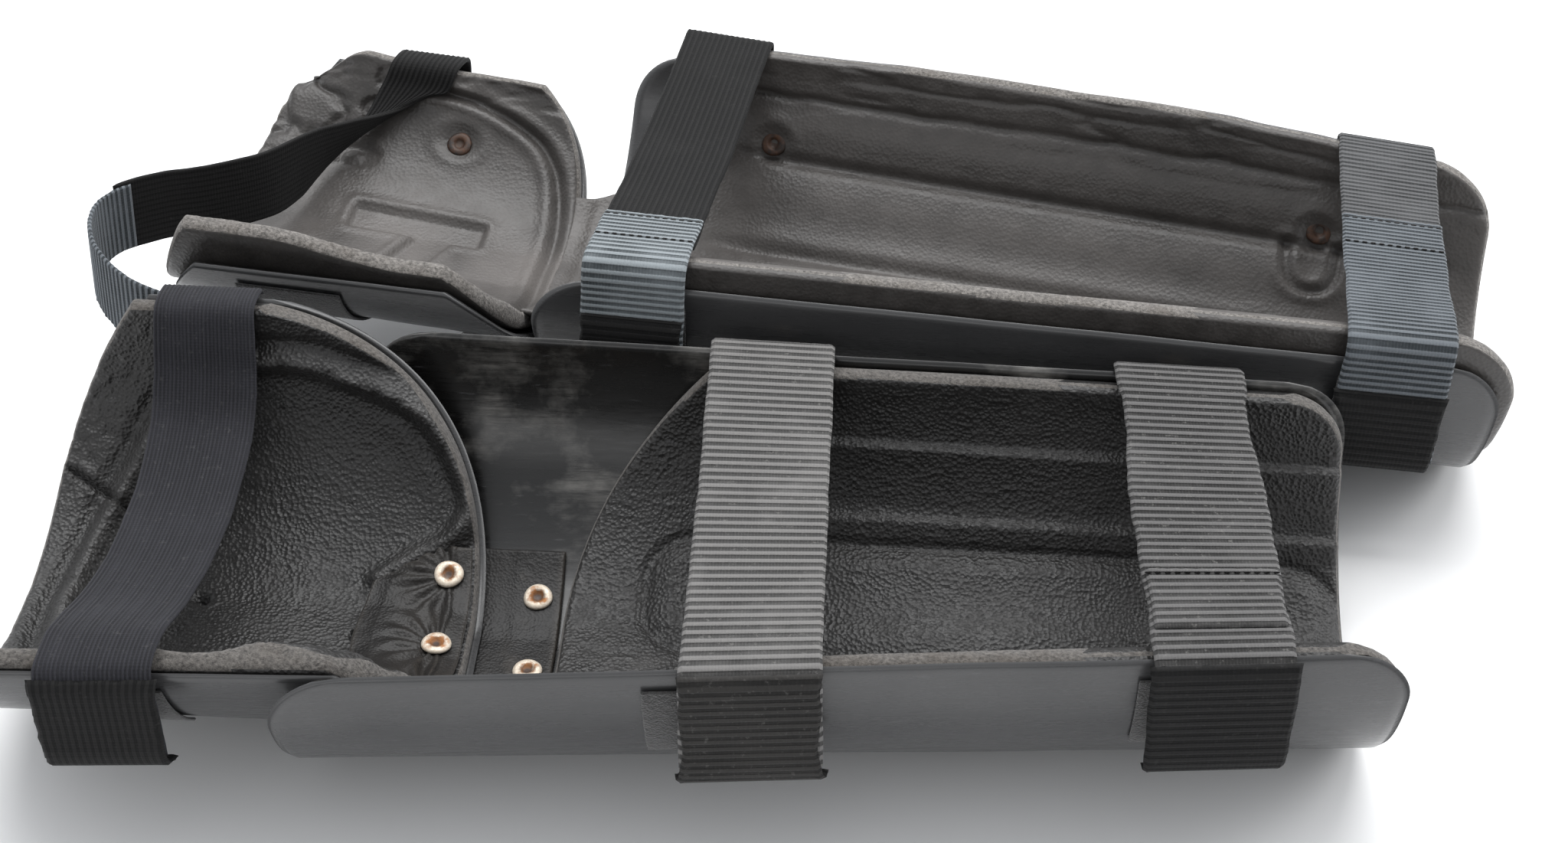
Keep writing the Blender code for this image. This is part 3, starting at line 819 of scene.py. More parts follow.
def shell(side, name, trough, ends, limits, inner):
    """A hard shell: plastic outside, its own paint inside, and a cut rim with a painted
    highlight.
    """
    sheet = trough_sheet(trough, ends, limits, 0.0, size=(84, 96))
    ripple = 0.00025 * cloudy(sheet.points, 28.0, 11)
    sheet.points = sheet.points + sheet.normal * (ripple + 0.0002)[..., None]
    obj = thick_sheet(f"{side}_{name}_shell_body", sheet, WALL - 0.0002, 0.0, 0.0010,
                      [PAINT["plastic"], PAINT["edge"], PAINT[inner]], GUARD[side])
    count = (sheet.points.shape[0] - 1) * (sheet.points.shape[1] - 1)
    index = np.zeros(len(obj.data.polygons), np.int32)
    index[:count] = 2
    index[2 * count:] = 1
    obj.data.polygons.foreach_set("material_index", index)
    finish_piece(obj, f"{side}_{name}", "shell_plastic", f"{side}_{name}_shell")


def make_shells():
    """The shin shell and the knee cup of both guards."""
    for side, rim in (("left", LEFT_RIM), ("right", RIGHT_RIM)):
        ends = (lambda z, r=rim: -SHIN_HALF + corner(z, r, 0.022),
                lambda z, r=rim: SHIN_HALF - corner(z, r, 0.019))
        shell(side, "shin", SHIN[side], ends, (-QUARTER, QUARTER),
              "scuffed" if side == "left" else "plastic")
        cup = CUP[side]
        ends = (lambda z, c=cup: thigh_end(c, z) + 0.004, lambda z, c=cup: knee_end(c, z))
        shell(side, "knee", cup["trough"], ends, cup["section"], "plastic")


# ------------------------------------------------------------------ linings

ARC = 0.0685        # metres of lining for each radian of the section


def degrees_path(points):
    """A smooth path on a lining, through points given as x and degrees round."""
    return smooth_points([(x, ARC * math.radians(a)) for x, a in points], 6)


def lining(side, name, sheet, relief, paint_mix):
    """Moulded foam on a sheet, with its relief in metres and its paint mix from 0 to 1: wear,
    and on some linings painted light.
    """
    obj = thick_sheet(f"{side}_{name}_lining", sheet, LINER + relief, 0.0, 0.0024,
                      [PAINT[f"{side}_skin"], PAINT[f"{side}_foam"]], GUARD[side], paint_mix,
                      fray=0.00035)
    finish_piece(obj, f"{side}_{name}", f"{side}_lining", f"{side}_{name}_liner")


def cup_ends(cup):
    """The two ends of a knee lining."""
    return (lambda z: thigh_end(cup, z)), (lambda z: knee_end(cup, z) - 0.0015)


def step_down(side, edge, length, height):
    """A moulded step: it stands up sharply just below its edge and fades away further down."""
    below = (edge - side) / length
    return height * smooth_step(edge - side, -0.0012, 0.0012) * np.clip(1 - below, 0, 1)


def left_shin_lining():
    """Two long pads between steps, with a curved knee end."""
    def knee_side(z):
        return -0.0870 + 0.043 * (np.maximum(z, 0.0) / 0.065) ** 1.3

    limit = math.radians(88.0)
    ends = (knee_side, lambda z: SHIN_HALF - 0.0012 - corner(z, 0.0690, 0.019))
    sheet = trough_sheet(SHIN["left"], ends, (-limit, limit), BESIDE, size=(190, 200))
    x, s = sheet.x, ARC * sheet.angle
    relief = 0.00035 * cloudy(sheet.points, 55.0, 21)
    for middle in (0.0245, -0.0315):
        panel = to_box(x, s, (0.0445, middle), (0.1055, 0.0205), 0.015)
        relief = relief + 0.0022 * (1 - smooth_step(panel, -0.0075, 0.0008))
        relief = relief - 0.0012 * bell(panel - 0.0012, 0.0016)
    past_knee = smooth_step(x, -0.050, -0.036)
    for sign in (1, -1):
        side = sign * s
        relief = relief + past_knee * (step_down(side, 0.0815, 0.021, 0.0027)
                                       + step_down(side, 0.0560, 0.009, 0.0022))
    for points, deep, wide in (
            (((-0.0800, 2.0), (-0.0690, 1.4), (-0.0560, 1.8)), 0.0009, 0.0007),
            (((-0.0760, 14.0), (-0.0700, 13.2), (-0.0650, 13.4)), 0.0006, 0.0006)):
        relief = relief - deep * bell(to_path(x, s, degrees_path(points)), wide)
    paint_mix = 0.9 * bell(x + 0.060, 0.013) * bell(s + 0.004, 0.006) * folds(
        sheet.points * np.array([0.35, 1.0, 1.0]), 260.0, 5, 2.2)
    paint_mix = paint_mix + 0.25 * bell(sheet.edge, 0.004)
    lining("left", "shin", sheet, relief, paint_mix)


def left_knee_lining():
    """A hollow pad inside a bead, with a slit and two dimples."""
    cup = CUP["left"]
    sheet = trough_sheet(cup["trough"], cup_ends(cup), cup["section"], BESIDE, size=(180, 150))
    x, s = sheet.x, ARC * sheet.angle
    bead = degrees_path([(-0.2362, 0.0), (-0.2353, 10.5), (-0.2321, 24), (-0.2259, 39),
                         (-0.2149, 58), (-0.2047, 68), (-0.1900, 74), (-0.1716, 76),
                         (-0.1553, 72.5), (-0.1380, 67.5), (-0.1285, 61), (-0.1195, 48.3),
                         (-0.1181, 40), (-0.1242, 32.2), (-0.1344, 26.5), (-0.1445, 19.4)])
    line = to_path(x, np.abs(s), bead)
    inside = smooth_step(np.hypot((x + 0.177) / 0.060, s / 0.092), 1.12, 0.86)
    crinkle = 1 + 0.25 * cloudy(sheet.points, 260.0, 36)
    relief = 0.0036 * bell(line, 0.0034) * crinkle - 0.0014 * inside
    relief = relief - 0.0016 * bell(line - 0.0062, 0.0026) * (1 - inside)
    slit = to_path(x, s, degrees_path([(-0.2445, 42.5), (-0.2300, 35.5), (-0.2165, 28.5)]))
    relief = relief - 0.0034 * bell(slit, 0.0009) + 0.0006 * bell(slit - 0.002, 0.0012)
    for hole_x, hole_a in ((-0.1472, 0.0), (-0.1970, 8.4)):
        hole = np.hypot(x - hole_x, s - ARC * math.radians(hole_a))
        relief = relief - 0.0050 * bell(hole, 0.0017) + 0.0004 * bell(hole - 0.004, 0.002)
    creased = bell(x + 0.236, 0.020) * smooth_step(s, 0.02, 0.05)
    relief = relief - 0.0007 * creased * folds(sheet.points * np.array([1, 0.4, 1]), 130.0, 31)
    relief = relief + 0.0004 * cloudy(sheet.points, 60.0, 33)
    roll = smooth_step(-s, 0.074, 0.084)
    relief = relief + 0.0004 * roll * (1 + 0.4 * cloudy(sheet.points, 120.0, 35))
    # Painted highlight: the bead is painted paler in patches where its ridge catches the light.
    # The edges are painted paler too.
    paint_mix = 0.55 * bell(line, 0.0022) * smooth_step(cloudy(sheet.points, 90.0, 37), -0.3, 0.5)
    paint_mix = paint_mix * (1 - roll) + 0.2 * bell(sheet.edge, 0.003)
    lining("left", "knee", sheet, relief, paint_mix)


def right_shin_lining():
    """Long ribs and grooves, a small moulded U, and a flange that stands over the far rim."""
    def lip(angle, x):
        arch = smooth_step(angle, 0.9, 1.5) * (1 - (x / 0.16) ** 2)
        wavy = smooth_step(angle, 1.1, 1.5) * cloudy(np.stack([x, 0 * x, 0 * x], -1), 22.0, 41)
        return SHIN_LIP + 0.0040 * arch + 0.0014 * wavy

    ends = (lambda z: LINING_CUT + LINING_LEAN * z + corner(z, RIGHT_RIM, 0.016),
            lambda z: SHIN_HALF + 0.0045 - corner(z, RIGHT_RIM, 0.024))
    sheet = trough_sheet(SHIN["right"], ends, (-QUARTER, QUARTER), BESIDE, OVER_RIVETS, lip,
                         (190, 220))
    x, s, deg = sheet.x, ARC * sheet.angle, np.degrees(sheet.angle)
    band = ARC * np.radians(1.0)
    along = smooth_step(x, -0.125, -0.095) * smooth_step(x, 0.152, 0.128)
    relief = 0.00025 * cloudy(sheet.points, 45.0, 43)
    for sign in (1, -1):
        d = sign * deg
        relief = relief + along * (-0.0026 * bell((d - 57) * band, 0.0026)
                                   + 0.0022 * bell((d - 47) * band, 0.0110)
                                   - 0.0030 * bell((d - 26) * band, 0.0032)
                                   + 0.0016 * bell((d - 67) * band, 0.0075))
    relief = relief + along * 0.0014 * bell(deg * band, 0.018)
    cup_u = degrees_path([(0.0895, 57), (0.0905, 48), (0.0935, 43), (0.0990, 41.5),
                          (0.1045, 43), (0.1075, 48), (0.1082, 57)])
    line = to_path(x, s, cup_u)
    relief = relief - 0.0014 * bell(line, 0.0016) + 0.0010 * bell(line - 0.0036, 0.0020)
    rivets, rivet_angle = SHIN_LINING_RIVETS
    for rivet_x in rivets:
        ring = np.hypot(x - rivet_x, s - ARC * rivet_angle)
        relief = relief - 0.0016 * bell(ring, 0.0060) + 0.0008 * bell(ring - 0.0085, 0.0025)
    high = smooth_step(deg, 68, 78)
    stretch = np.array([0.30, 1.0, 1.6])
    relief = relief - 0.0009 * high * folds(sheet.points * stretch, 75.0, 45, 6.0)
    relief = relief - 0.0015 * bell((deg - 77) * 0.0012
                                    + 0.0016 * cloudy(sheet.points, 40.0, 47), 0.0016)
    # Painted light: the floor and near wall are painted paler and the upper far wall stays
    # darker, as light from above falls, and the rib near 46 degrees gets a painted highlight.
    # The patchy mask is wear. The edges are painted paler too.
    paint_mix = 0.55 * smooth_step(deg, 56, 12) + 0.30 * bell(deg - 46, 6)
    paint_mix = paint_mix * smooth_step(cloudy(sheet.points, 26.0, 49), -1.1, 0.5)
    paint_mix = paint_mix + 0.2 * bell(sheet.edge, 0.004)
    lining("right", "shin", sheet, relief, paint_mix)


def right_knee_lining():
    """A pad with a curved groove, a T-shaped slot, and folds at its far corner."""
    def lip(angle, x):
        lobe = smooth_step(angle, 0.7, 1.3) * bell(x + 0.262, 0.022)
        lift = KNEE_LIP + 0.0008 * cloudy(np.stack([x, 0 * x, 0 * x], -1), 30.0, 51) * (
            smooth_step(np.abs(angle), 1.0, 1.3)) + 0.003 * lobe
        lift = lift + 0.0095 * smooth_step(-angle, 0.9, 1.3) * smooth_step(-x, 0.196, 0.246)
        return lift - 0.0200 * smooth_step(angle, 0.9, 1.3) * smooth_step(-x, 0.252, 0.276)

    cup = CUP["right"]
    sheet = trough_sheet(cup["trough"], cup_ends(cup), cup["section"], BESIDE, None, lip,
                         (170, 150))
    x, s = sheet.x, ARC * sheet.angle
    groove = degrees_path([(-0.2300, 69), (-0.2060, 65), (-0.1868, 57), (-0.1778, 48),
                           (-0.1733, 37), (-0.1706, 21), (-0.1701, 1), (-0.1690, -22),
                           (-0.1700, -42), (-0.1800, -55)])
    line = to_path(x, s, groove)
    relief = -0.0022 * bell(line, 0.0022) + 0.0012 * bell(line - 0.0048, 0.0028)
    bar = to_box(x, s, (-0.2205, 0.0165), (0.0250, 0.0068), 0.0015)
    lean = x - 0.35 * (s + 0.006)
    stem = to_box(lean, s, (-0.2190, -0.0060), (0.0075, 0.0180), 0.0015)
    slot = np.minimum(bar, stem)
    relief = relief - 0.0024 * (1 - smooth_step(slot, -0.0016, 0.0006))
    relief = relief + 0.0007 * bell(slot - 0.0020, 0.0016)
    ring = np.hypot(x - KNEE_LINING_RIVET[0], s - ARC * KNEE_LINING_RIVET[1])
    relief = relief - 0.0022 * bell(ring, 0.0065) + 0.0007 * bell(ring - 0.0095, 0.0030)
    corner_fold = smooth_step(-x, 0.236, 0.252) * smooth_step(s, 0.030, 0.052)
    relief = relief - 0.0022 * corner_fold * folds(sheet.points, 62.0, 53, 5.5)
    flange = smooth_step(s, 0.074, 0.082)
    relief = relief - 0.0012 * flange * folds(sheet.points * np.array([0.4, 1, 1]), 80.0, 55)
    relief = relief + 0.0003 * cloudy(sheet.points, 50.0, 57)
    # Painted light: the floor is painted paler than the upper walls, as light from above falls,
    # and the raised lip beside the groove gets a painted highlight; a patchy mask thins both.
    paint_mix = (0.75 * smooth_step(np.degrees(sheet.angle), 46, 8)
            + 0.25 * bell(line - 0.006, 0.004))
    paint_mix = paint_mix * smooth_step(cloudy(sheet.points, 35.0, 59), -0.9, 0.6)
    lining("right", "knee", sheet, relief, paint_mix)


def right_bridge():
    """The thin neck of lining that crosses the right guard's hinge."""
    cup, trough = CUP["right"], SHIN["right"]
    angle = (math.radians(38) * (2 * graded(60, 0.4) - 1))[:, None]
    low = knee_end(cup, cup["trough"].height(angle)) - 0.0030
    high = LINING_CUT + LINING_LEAN * trough.height(angle) + 0.0050
    t = graded(28, 0.4)[None, :]
    x = low + (high - low) * t
    knee_side = cup["trough"].point(x, angle, LINED, None, KNEE_LIP)
    shin_side = trough.point(x, angle, LINED, OVER_RIVETS + LINER, SHIN_LIP)
    points = knee_side + (shin_side - knee_side) * smooth_step(t, 0.15, 0.85)[..., None]
    points[..., 2] += 0.0002
    sheet = Sheet(points, (-0.16, 0.0, 0.07))
    crease = -0.0009 * bell(sheet.x - float(sheet.x.mean()), 0.0030)
    crease = crease + 0.0003 * cloudy(sheet.points, 90.0, 61)
    obj = thick_sheet("right_lining_neck", sheet, 0.0007 + crease, -0.0014, 0.0006,
                      [PAINT["right_skin"]], GUARD["right"],
                      0.35 + 0.25 * cloudy(sheet.points, 40.0, 63))
    bend_at_hinge(obj)


# ------------------------------------------------------------------ leather

def hinge_strip(side):
    """The leather that joins cup and shin under the knee."""
    cup = CUP[side]
    axis, angle = cup["hinge_x"], cup["strip_angle"]
    front_edge = axis + cup["strip_reach"]
    sheet = trough_sheet(SHIN[side], band_ends(axis - 0.030, front_edge), (-angle, angle),
                         STRIP_INSET, size=(70, 60))
    relief = 0.0002 * cloudy(sheet.points, 140.0, 71) + 0.0003
    relief = relief * smooth_step(sheet.x, axis + 0.002, axis + 0.006)
    # Paler at the front edge and in a band at the bend by the hinge; the bend band is a painted
    # highlight where the strip steps down.
    paint_mix = 0.5 * bell(front_edge - sheet.x - 0.0005, 0.0012) + 0.4 * bell(
        sheet.x - axis - 0.006, 0.003) * smooth_step(cloudy(sheet.points, 150.0, 73), 0, 0.6)
    obj = thick_sheet(f"{side}_hinge_leather", sheet, STRIP + relief, 0.0, 0.0006,
                      [PAINT["leather"]], GUARD[side], paint_mix)
    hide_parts(f"{side}_hinge_strip_knee", f"{side}_hinge_strip_shin")
    bend_at_hinge(obj)


def knee_tab():
    """The left guard's pleated tab, held by three rivets."""
    cup = CUP["left"]
    trough = cup["trough"]
    limits = (math.radians(-38), math.radians(30))
    rows = (limits[0] + (limits[1] - limits[0]) * graded(90, 0.4))[:, None]
    heights = trough.height(rows)
    apex = math.radians(18)
    above = np.clip((rows - apex) / (limits[1] - apex), 0, 1)
    below = np.clip((apex - rows) / (apex - limits[0]), 0, 1)
    start = -0.1455 + 0.0200 * above - 0.0035 * np.sin(below * math.pi) + 0.010 * below ** 3
    stop = knee_end(cup, heights) - 0.0030
    x = start + (stop - start) * graded(80, 0.3)[None, :]
    sheet = Sheet(trough.point(x, rows, TAB_TOP), (-0.13, 0.0, 0.08))
    x, y = sheet.x, sheet.points[..., 1]
    relief = 0.00025 * cloudy(sheet.points, 120.0, 81)
    for rivet_y in TAB_RIVETS[1]:
        dx, dy = x - TAB_RIVETS[0], y - rivet_y
        far = np.hypot(dx, dy)
        turn = np.arctan2(dy, dx)
        rays = np.cos(13 * turn + 2.2 * cloudy(sheet.points, 60.0, 83))
        relief = relief + 0.0007 * rays * bell(far - 0.010, 0.0065) * (dx < 0.002)
        relief = relief - 0.0008 * bell(far, 0.0045)
    puff = np.clip(sheet.edge / 0.006, 0, 1)
    relief = relief + 0.0016 * puff * bell(x + 0.134, 0.012)
    fold = bell(x - (stop - 0.0100 - 0.002 * np.sin(heights * 300)), 0.0012)
    relief = relief - 0.0007 * fold
    paint_mix = 0.35 * bell(sheet.edge, 0.0012) + 0.2 * bell(x + 0.128, 0.010)
    obj = thick_sheet("left_knee_tab_leather", sheet, 0.0012 + relief, 0.0002, 0.0006,
                      [PAINT["leather"]], GUARD["left"], paint_mix)
    finish_piece(obj, "left_knee", "hinge_leather", "left_knee_tab")


# ------------------------------------------------------------------ rivets

RIVET_PROFILE = ((0.0000, 0.00015), (0.0008, 0.00015), (0.0014, 0.00030), (0.0018, 0.00075),
                 (0.0022, 0.00115), (0.0028, 0.00130), (0.0036, 0.00125), (0.0042, 0.00100),
                 (0.0045, 0.00065), (0.0046, 0.00025), (0.0044, 0.00000), (0.0000, 0.00000))
RIVET_SIDES = 40


def rivet(name, node, body, paint, place, normal, side):
    """A washer with a rolled rim and a dimple, turned about its normal."""
    verts, paint_mix, faces, rings = [], [], [], []
    for radius, height in RIVET_PROFILE:
        ring = []
        for k in range(RIVET_SIDES if radius else 1):
            turn = 2 * math.pi * k / RIVET_SIDES
            uneven = 1 + 0.02 * math.sin(3 * turn + 40 * place.x) * (radius > 0.004)
            ring.append(len(verts))
            verts.append((radius * uneven * math.cos(turn), radius * uneven * math.sin(turn),
                          height))
            paint_mix.append(radius / RIVET_RADIUS)
        rings.append(ring)
    for a, b in zip(rings, rings[1:]):
        for k in range(RIVET_SIDES):
            n = (k + 1) % RIVET_SIDES
            corners = (a[k % len(a)], b[k % len(b)], b[n % len(b)], a[n % len(a)])
            faces.append(tuple(dict.fromkeys(corners)))
    turned = normal.to_track_quat("Z", "Y").to_matrix().to_4x4()
    at = GUARD[side] @ Matrix.Translation(place + normal * RIVET_GAP) @ turned
    obj = new_object(name, verts, faces, [PAINT[paint]], at)
    add_vectors(obj, "paint_mix", np.repeat(np.array(paint_mix)[:, None], 3, axis=1))
    finish_piece(obj, body, "rivet_brass", node)


def make_rivets():
    """The rivets of the hinge strips, of the left knee tab and of the right linings."""
    for side in ("left", "right"):
        cup, trough = CUP[side], SHIN[side]
        x = cup["hinge_x"] + cup["strip_reach"] - 0.0075
        for number, y in enumerate(cup["rivet_rows"], start=1):
            angle = trough.angle_across(y, x, STRIP_TOP)
            rivet(f"{side}_strip_rivet_{number}", f"{side}_shin_rivet_{number}",
                  f"{side}_shin", "rivet", Vector(trough.point(x, angle, STRIP_TOP)),
                  -trough.normal(x, angle), side)
    trough = CUP["left"]["trough"]
    x, rows = TAB_RIVETS
    for number, y in enumerate(rows, start=1):
        angle = trough.angle_across(y, x, TAB_TOP + 0.0012)
        rivet(f"left_tab_rivet_{number}", f"left_knee_rivet_{number}", "left_knee", "rivet",
              Vector(trough.point(x, angle, TAB_TOP + 0.0012)), -trough.normal(x, angle), "left")
    (first_x, second_x), angle = SHIN_LINING_RIVETS
    shin, knee = SHIN["right"], CUP["right"]["trough"]
    over = OVER_RIVETS + LINER
    for number, trough, x, angle, floor_inset, lip, body, sink in (
            (1, shin, first_x, angle, over, SHIN_LIP, "right_shin", 0.0012),
            (2, shin, second_x, angle, over, SHIN_LIP, "right_shin", 0.0012),
            (3, knee, *KNEE_LINING_RIVET, None, KNEE_LIP, "right_knee", 0.0018)):
        normal = -trough.normal(x, angle)
        place = Vector(trough.point(x, angle, LINED, floor_inset, lip))
        rivet(f"right_lining_rivet_{number}", f"right_liner_rivet_{number}", body, "rusty",
              place - normal * sink, normal, "right")


# ------------------------------------------------------------------ straps

def run_along(path):
    """How far along a path each of its points is."""
    return np.concatenate([[0.0], np.cumsum(np.linalg.norm(np.diff(path, axis=0), axis=1))])


def strap(name, path, widths, thickness, paint, side, ribs=None, along=False, columns=26,
          step=0.0008, fray=0.0, wander=0.0, seed=0, lift=0.0):
    """A woven band along a path. Ribs, as pitch and height, are raised across it, or along it.
    The edges may wander and fray, and a lift sets it off its path."""
    old_run = run_along(path)
    run = np.linspace(0.0, old_run[-1], max(int(old_run[-1] / step), 4) + 1)
    points = np.stack([np.interp(run, old_run, path[:, k]) for k in range(3)], axis=1)
    parameter = np.linspace(0.0, 1.0, len(path))
    at = np.interp(run, old_run, parameter)
    across = np.stack([np.interp(at, parameter, widths[:, k]) for k in range(3)], axis=1)
    width = np.linalg.norm(across, axis=1).mean()
    u = graded(columns, 0.3)[None, :] - 0.5
    line = np.stack([run, 0 * run, 0 * run], axis=1)
    shift = wander * cloudy(line, 70.0, seed)[:, None]
    shift = shift + wander * cloudy(line, 24.0, seed + 5)[:, None]
    edge_shift = shift * np.sign(u) * (np.abs(u) * 2) ** 3
    grid = points[:, None, :] + across[:, None, :] * (u + edge_shift / width)[..., None]
    normal = np.cross(np.gradient(points, axis=0), across)
    normal /= np.linalg.norm(normal, axis=1, keepdims=True)
    normal = normal[:, None, :]
    position = u * width + 0 * run[:, None]
    length = run[:, None] + 0 * u
    from_side = (0.5 - np.abs(u)) * width + 0 * length
    wave = 0 * from_side
    if ribs:
        pitch, height = ribs
        wave = height * np.sin((position if along else length) * (2 * math.pi / pitch))
        wave = wave * np.clip(from_side / 0.0012, 0.25, 1.0)
    edge = np.minimum(np.minimum(from_side, length), run[-1] - length)
    half = thickness / 2
    drop = roll_off(edge, half * 0.9)
    tangled = fray * cloudy(grid, 900.0, seed + 9) * bell(edge, 0.0012) if fray else 0.0
    top = grid + normal * (lift + half + wave - drop + tangled)[..., None]
    under = grid + normal * (lift - half + wave * 0.6 + drop)[..., None]
    obj, _ = closed_solid(name, top, under, normal[0, 0], [PAINT[paint]], GUARD[side])
    lay = np.stack([length, position, edge], axis=-1).reshape(-1, 3)
    add_vectors(obj, "lay", np.concatenate([lay, lay]))
    return obj


SPAN = 14           # path points for each given point


def route_of(trough, x, width, sag, lips, near_rim, drop):
    """The way a strap takes: over the far rim, across, over the near rim and down."""
    half_width = trough.along(trough.half_width, x)
    near_half = trough.reach(x, near_rim)
    lip, near_lip = lips
    top, near_top = trough.rim + lip, near_rim + near_lip
    hang = near_half + GAP + PATCH + GAP + HOOK + GAP + WEBBING / 2
    over_far = [(half_width + 0.0019, trough.rim - 0.0002)]
    if lip > 0:
        over_far.append((half_width + 0.0019, trough.rim + lip * 0.6))
    over_far += [(half_width + 0.0002, top + 0.0018), (half_width - 0.0105, top + 0.0022)]
    over_near = [(-near_half + 0.0105, near_top + 0.0020),
                 (-near_half - 0.0010, near_top + 0.0018), (-hang, near_top - 0.0015)]
    hook_end = near_rim - drop
    down = [(-hang, z) for z in np.linspace(near_top - 0.008, hook_end, 3)]
    path = smooth_points([(x, y, z) for y, z in over_far + sag + over_near + down], SPAN)
    slope = -trough.taper() * path[:, 1] / half_width
    widths = np.stack([np.full(len(path), width), width * slope, 0 * slope], axis=1)
    return path, widths, hang, hook_end


def tail(side, name, width, hang, top, bottom, trough, paint, seed):
    """The dark end tab outside the near wall, which curls in under its lower edge."""
    x = STRAPS[side][name][0]
    half_width = trough.along(trough.half_width, x)
    reach = hang + WEBBING / 2 + 0.0011
    places = [(-reach + 0.0016, top + 0.0022), (-reach - 0.0002, top - 0.0008)]
    places += [(-reach - 0.0004, z) for z in np.linspace(top - 0.006, bottom + 0.003, 4)]
    places += [(-reach + 0.0016, bottom - 0.0022), (-reach + 0.0058, bottom - 0.0040)]
    path = smooth_points([(x, y, z) for y, z in places], 12)
    slope = trough.taper() * hang / half_width
    widths = np.tile([width, width * slope, 0.0], (len(path), 1))
    flare = np.linspace(-1.0, 1.0, len(path))[:, None] ** 2 * 0.05 + 0.97
    obj = strap(f"{side}_{name}_tab", path, widths * flare, 0.0017, paint, side,
                ribs=(0.0026, 0.00006), fray=0.0006, wander=0.0010, seed=seed)
    finish_piece(obj, f"{side}_{name}", "hook_and_loop", f"{side}_{name}_hook")


def cut(path, widths, low, high):
    """The part of a route between two shares of its points."""
    count = len(path) - 1
    first, last = int(low * count), int(high * count) + 1
    return path[first:last], widths[first:last]


def split_at(path, y):
    """The share of the route's points at which it first comes below y."""
    return float(np.argmax(path[:, 1] < y)) / (len(path) - 1)


def left_straps():
    """Two straps of heavy webbing over the shin, and one of elastic that sags over the knee."""
    trough = SHIN["left"]
    level = LEFT_RIM + 0.0008
    sag = [(0.035, level), (0.0, level - 0.001), (-0.035, level)]
    for name, cloth, pitch, wander, tab, seed in (
            ("calf_strap", "webbing", CALF_RIB, 0.0004, "tab", 101),
            ("ankle_strap", "dark_webbing", ANKLE_RIB, 0.0010, "black_tab", 131)):
        x, width = STRAPS["left"][name]
        path, widths, hang, bottom = route_of(trough, x, width, sag, (0.0, 0.0), LEFT_RIM,
                                              STRAP_DROP)
        body = f"left_{name}"
        weave = {"ribs": (pitch, 0.00022), "columns": 30, "step": 0.0005, "fray": 0.0003}
        obj = strap(f"{body}_webbing", path, widths, WEBBING, cloth, "left", **weave,
                    wander=wander, seed=seed)
        finish_piece(obj, body, "strap_webbing", body)
        tail("left", name, width * 1.03, hang, LEFT_RIM, bottom, trough, tab, seed + 11)
        if name == "calf_strap":
            lint("left_calf_strap_lint", path, widths, 70, (0.20, 0.26), body, 5)
            continue
        over, wide = cut(path, widths, split_at(path, -0.0300), split_at(path, -0.0560))
        obj = strap("left_ankle_strap_overlap", over, wide * 0.985, 0.0012, cloth, "left",
                    **weave, wander=0.0006, seed=seed + 21, lift=0.00135)
        finish_piece(obj, body, "strap_webbing")
        stitch_row("left", name, path, widths, (-0.0315, -0.0325), 0.0022, "strap_webbing")
    cup = CUP["left"]
    near_rim = float(cup["trough"].height(cup["section"][0]))
    sag = [(0.0615, 0.0800), (0.0560, 0.0690), (0.0440, 0.0580), (0.0200, 0.0520),
           (-0.0100, 0.0530), (-0.0350, 0.0590), (-0.0520, 0.0655)]
    x, width = STRAPS["left"]["knee_strap"]
    path, widths, hang, bottom = route_of(cup["trough"], x, width, sag, (0.0, 0.0040),
                                          near_rim, 0.025)
    obj = strap("left_knee_strap_elastic", path, widths, WEBBING, "elastic", "left",
                ribs=(0.0016, 0.00010), along=True, columns=100, step=0.0020, wander=0.0003,
                seed=151)
    finish_piece(obj, "left_knee_strap", "strap_elastic", "left_knee_strap")
    tail("left", "knee_strap", 0.0335, hang, near_rim + 0.001, bottom, cup["trough"],
         "black_elastic", 161)


def stitch_row(side, name, path, widths, rows, rise, slot):
    """Lines of short thread stitches across a strap."""
    verts, faces = [], []
    for y in rows:
        index = int(split_at(path, y) * (len(path) - 1))
        centre, across = path[index], widths[index]
        along = path[index + 1] - path[index]
        along = along / np.linalg.norm(along)
        side_way = across / np.linalg.norm(across)
        up = np.cross(along, side_way)
        up = up * np.sign(up[2])
        count = int(np.linalg.norm(across) / 0.0026)
        for k in range(count):
            middle = centre + across * ((k + 0.5) / count - 0.5) + up * rise
            faces += tube_faces(len(verts), 4, 6)
            for end, thick in ((-1, 0.00008), (-0.6, 0.00026), (0.6, 0.00026), (1, 0.00008)):
                for turn in range(6):
                    angle = turn * math.pi / 3
                    verts.append(middle + side_way * 0.0009 * end
                                 + along * thick * math.cos(angle)
                                 + up * (thick * math.sin(angle) - 0.0001 * abs(end)))
    obj = new_object(f"{side}_{name}_stitches", verts, faces, [PAINT["thread"]], GUARD[side])
    finish_piece(obj, f"{side}_{name}", slot)


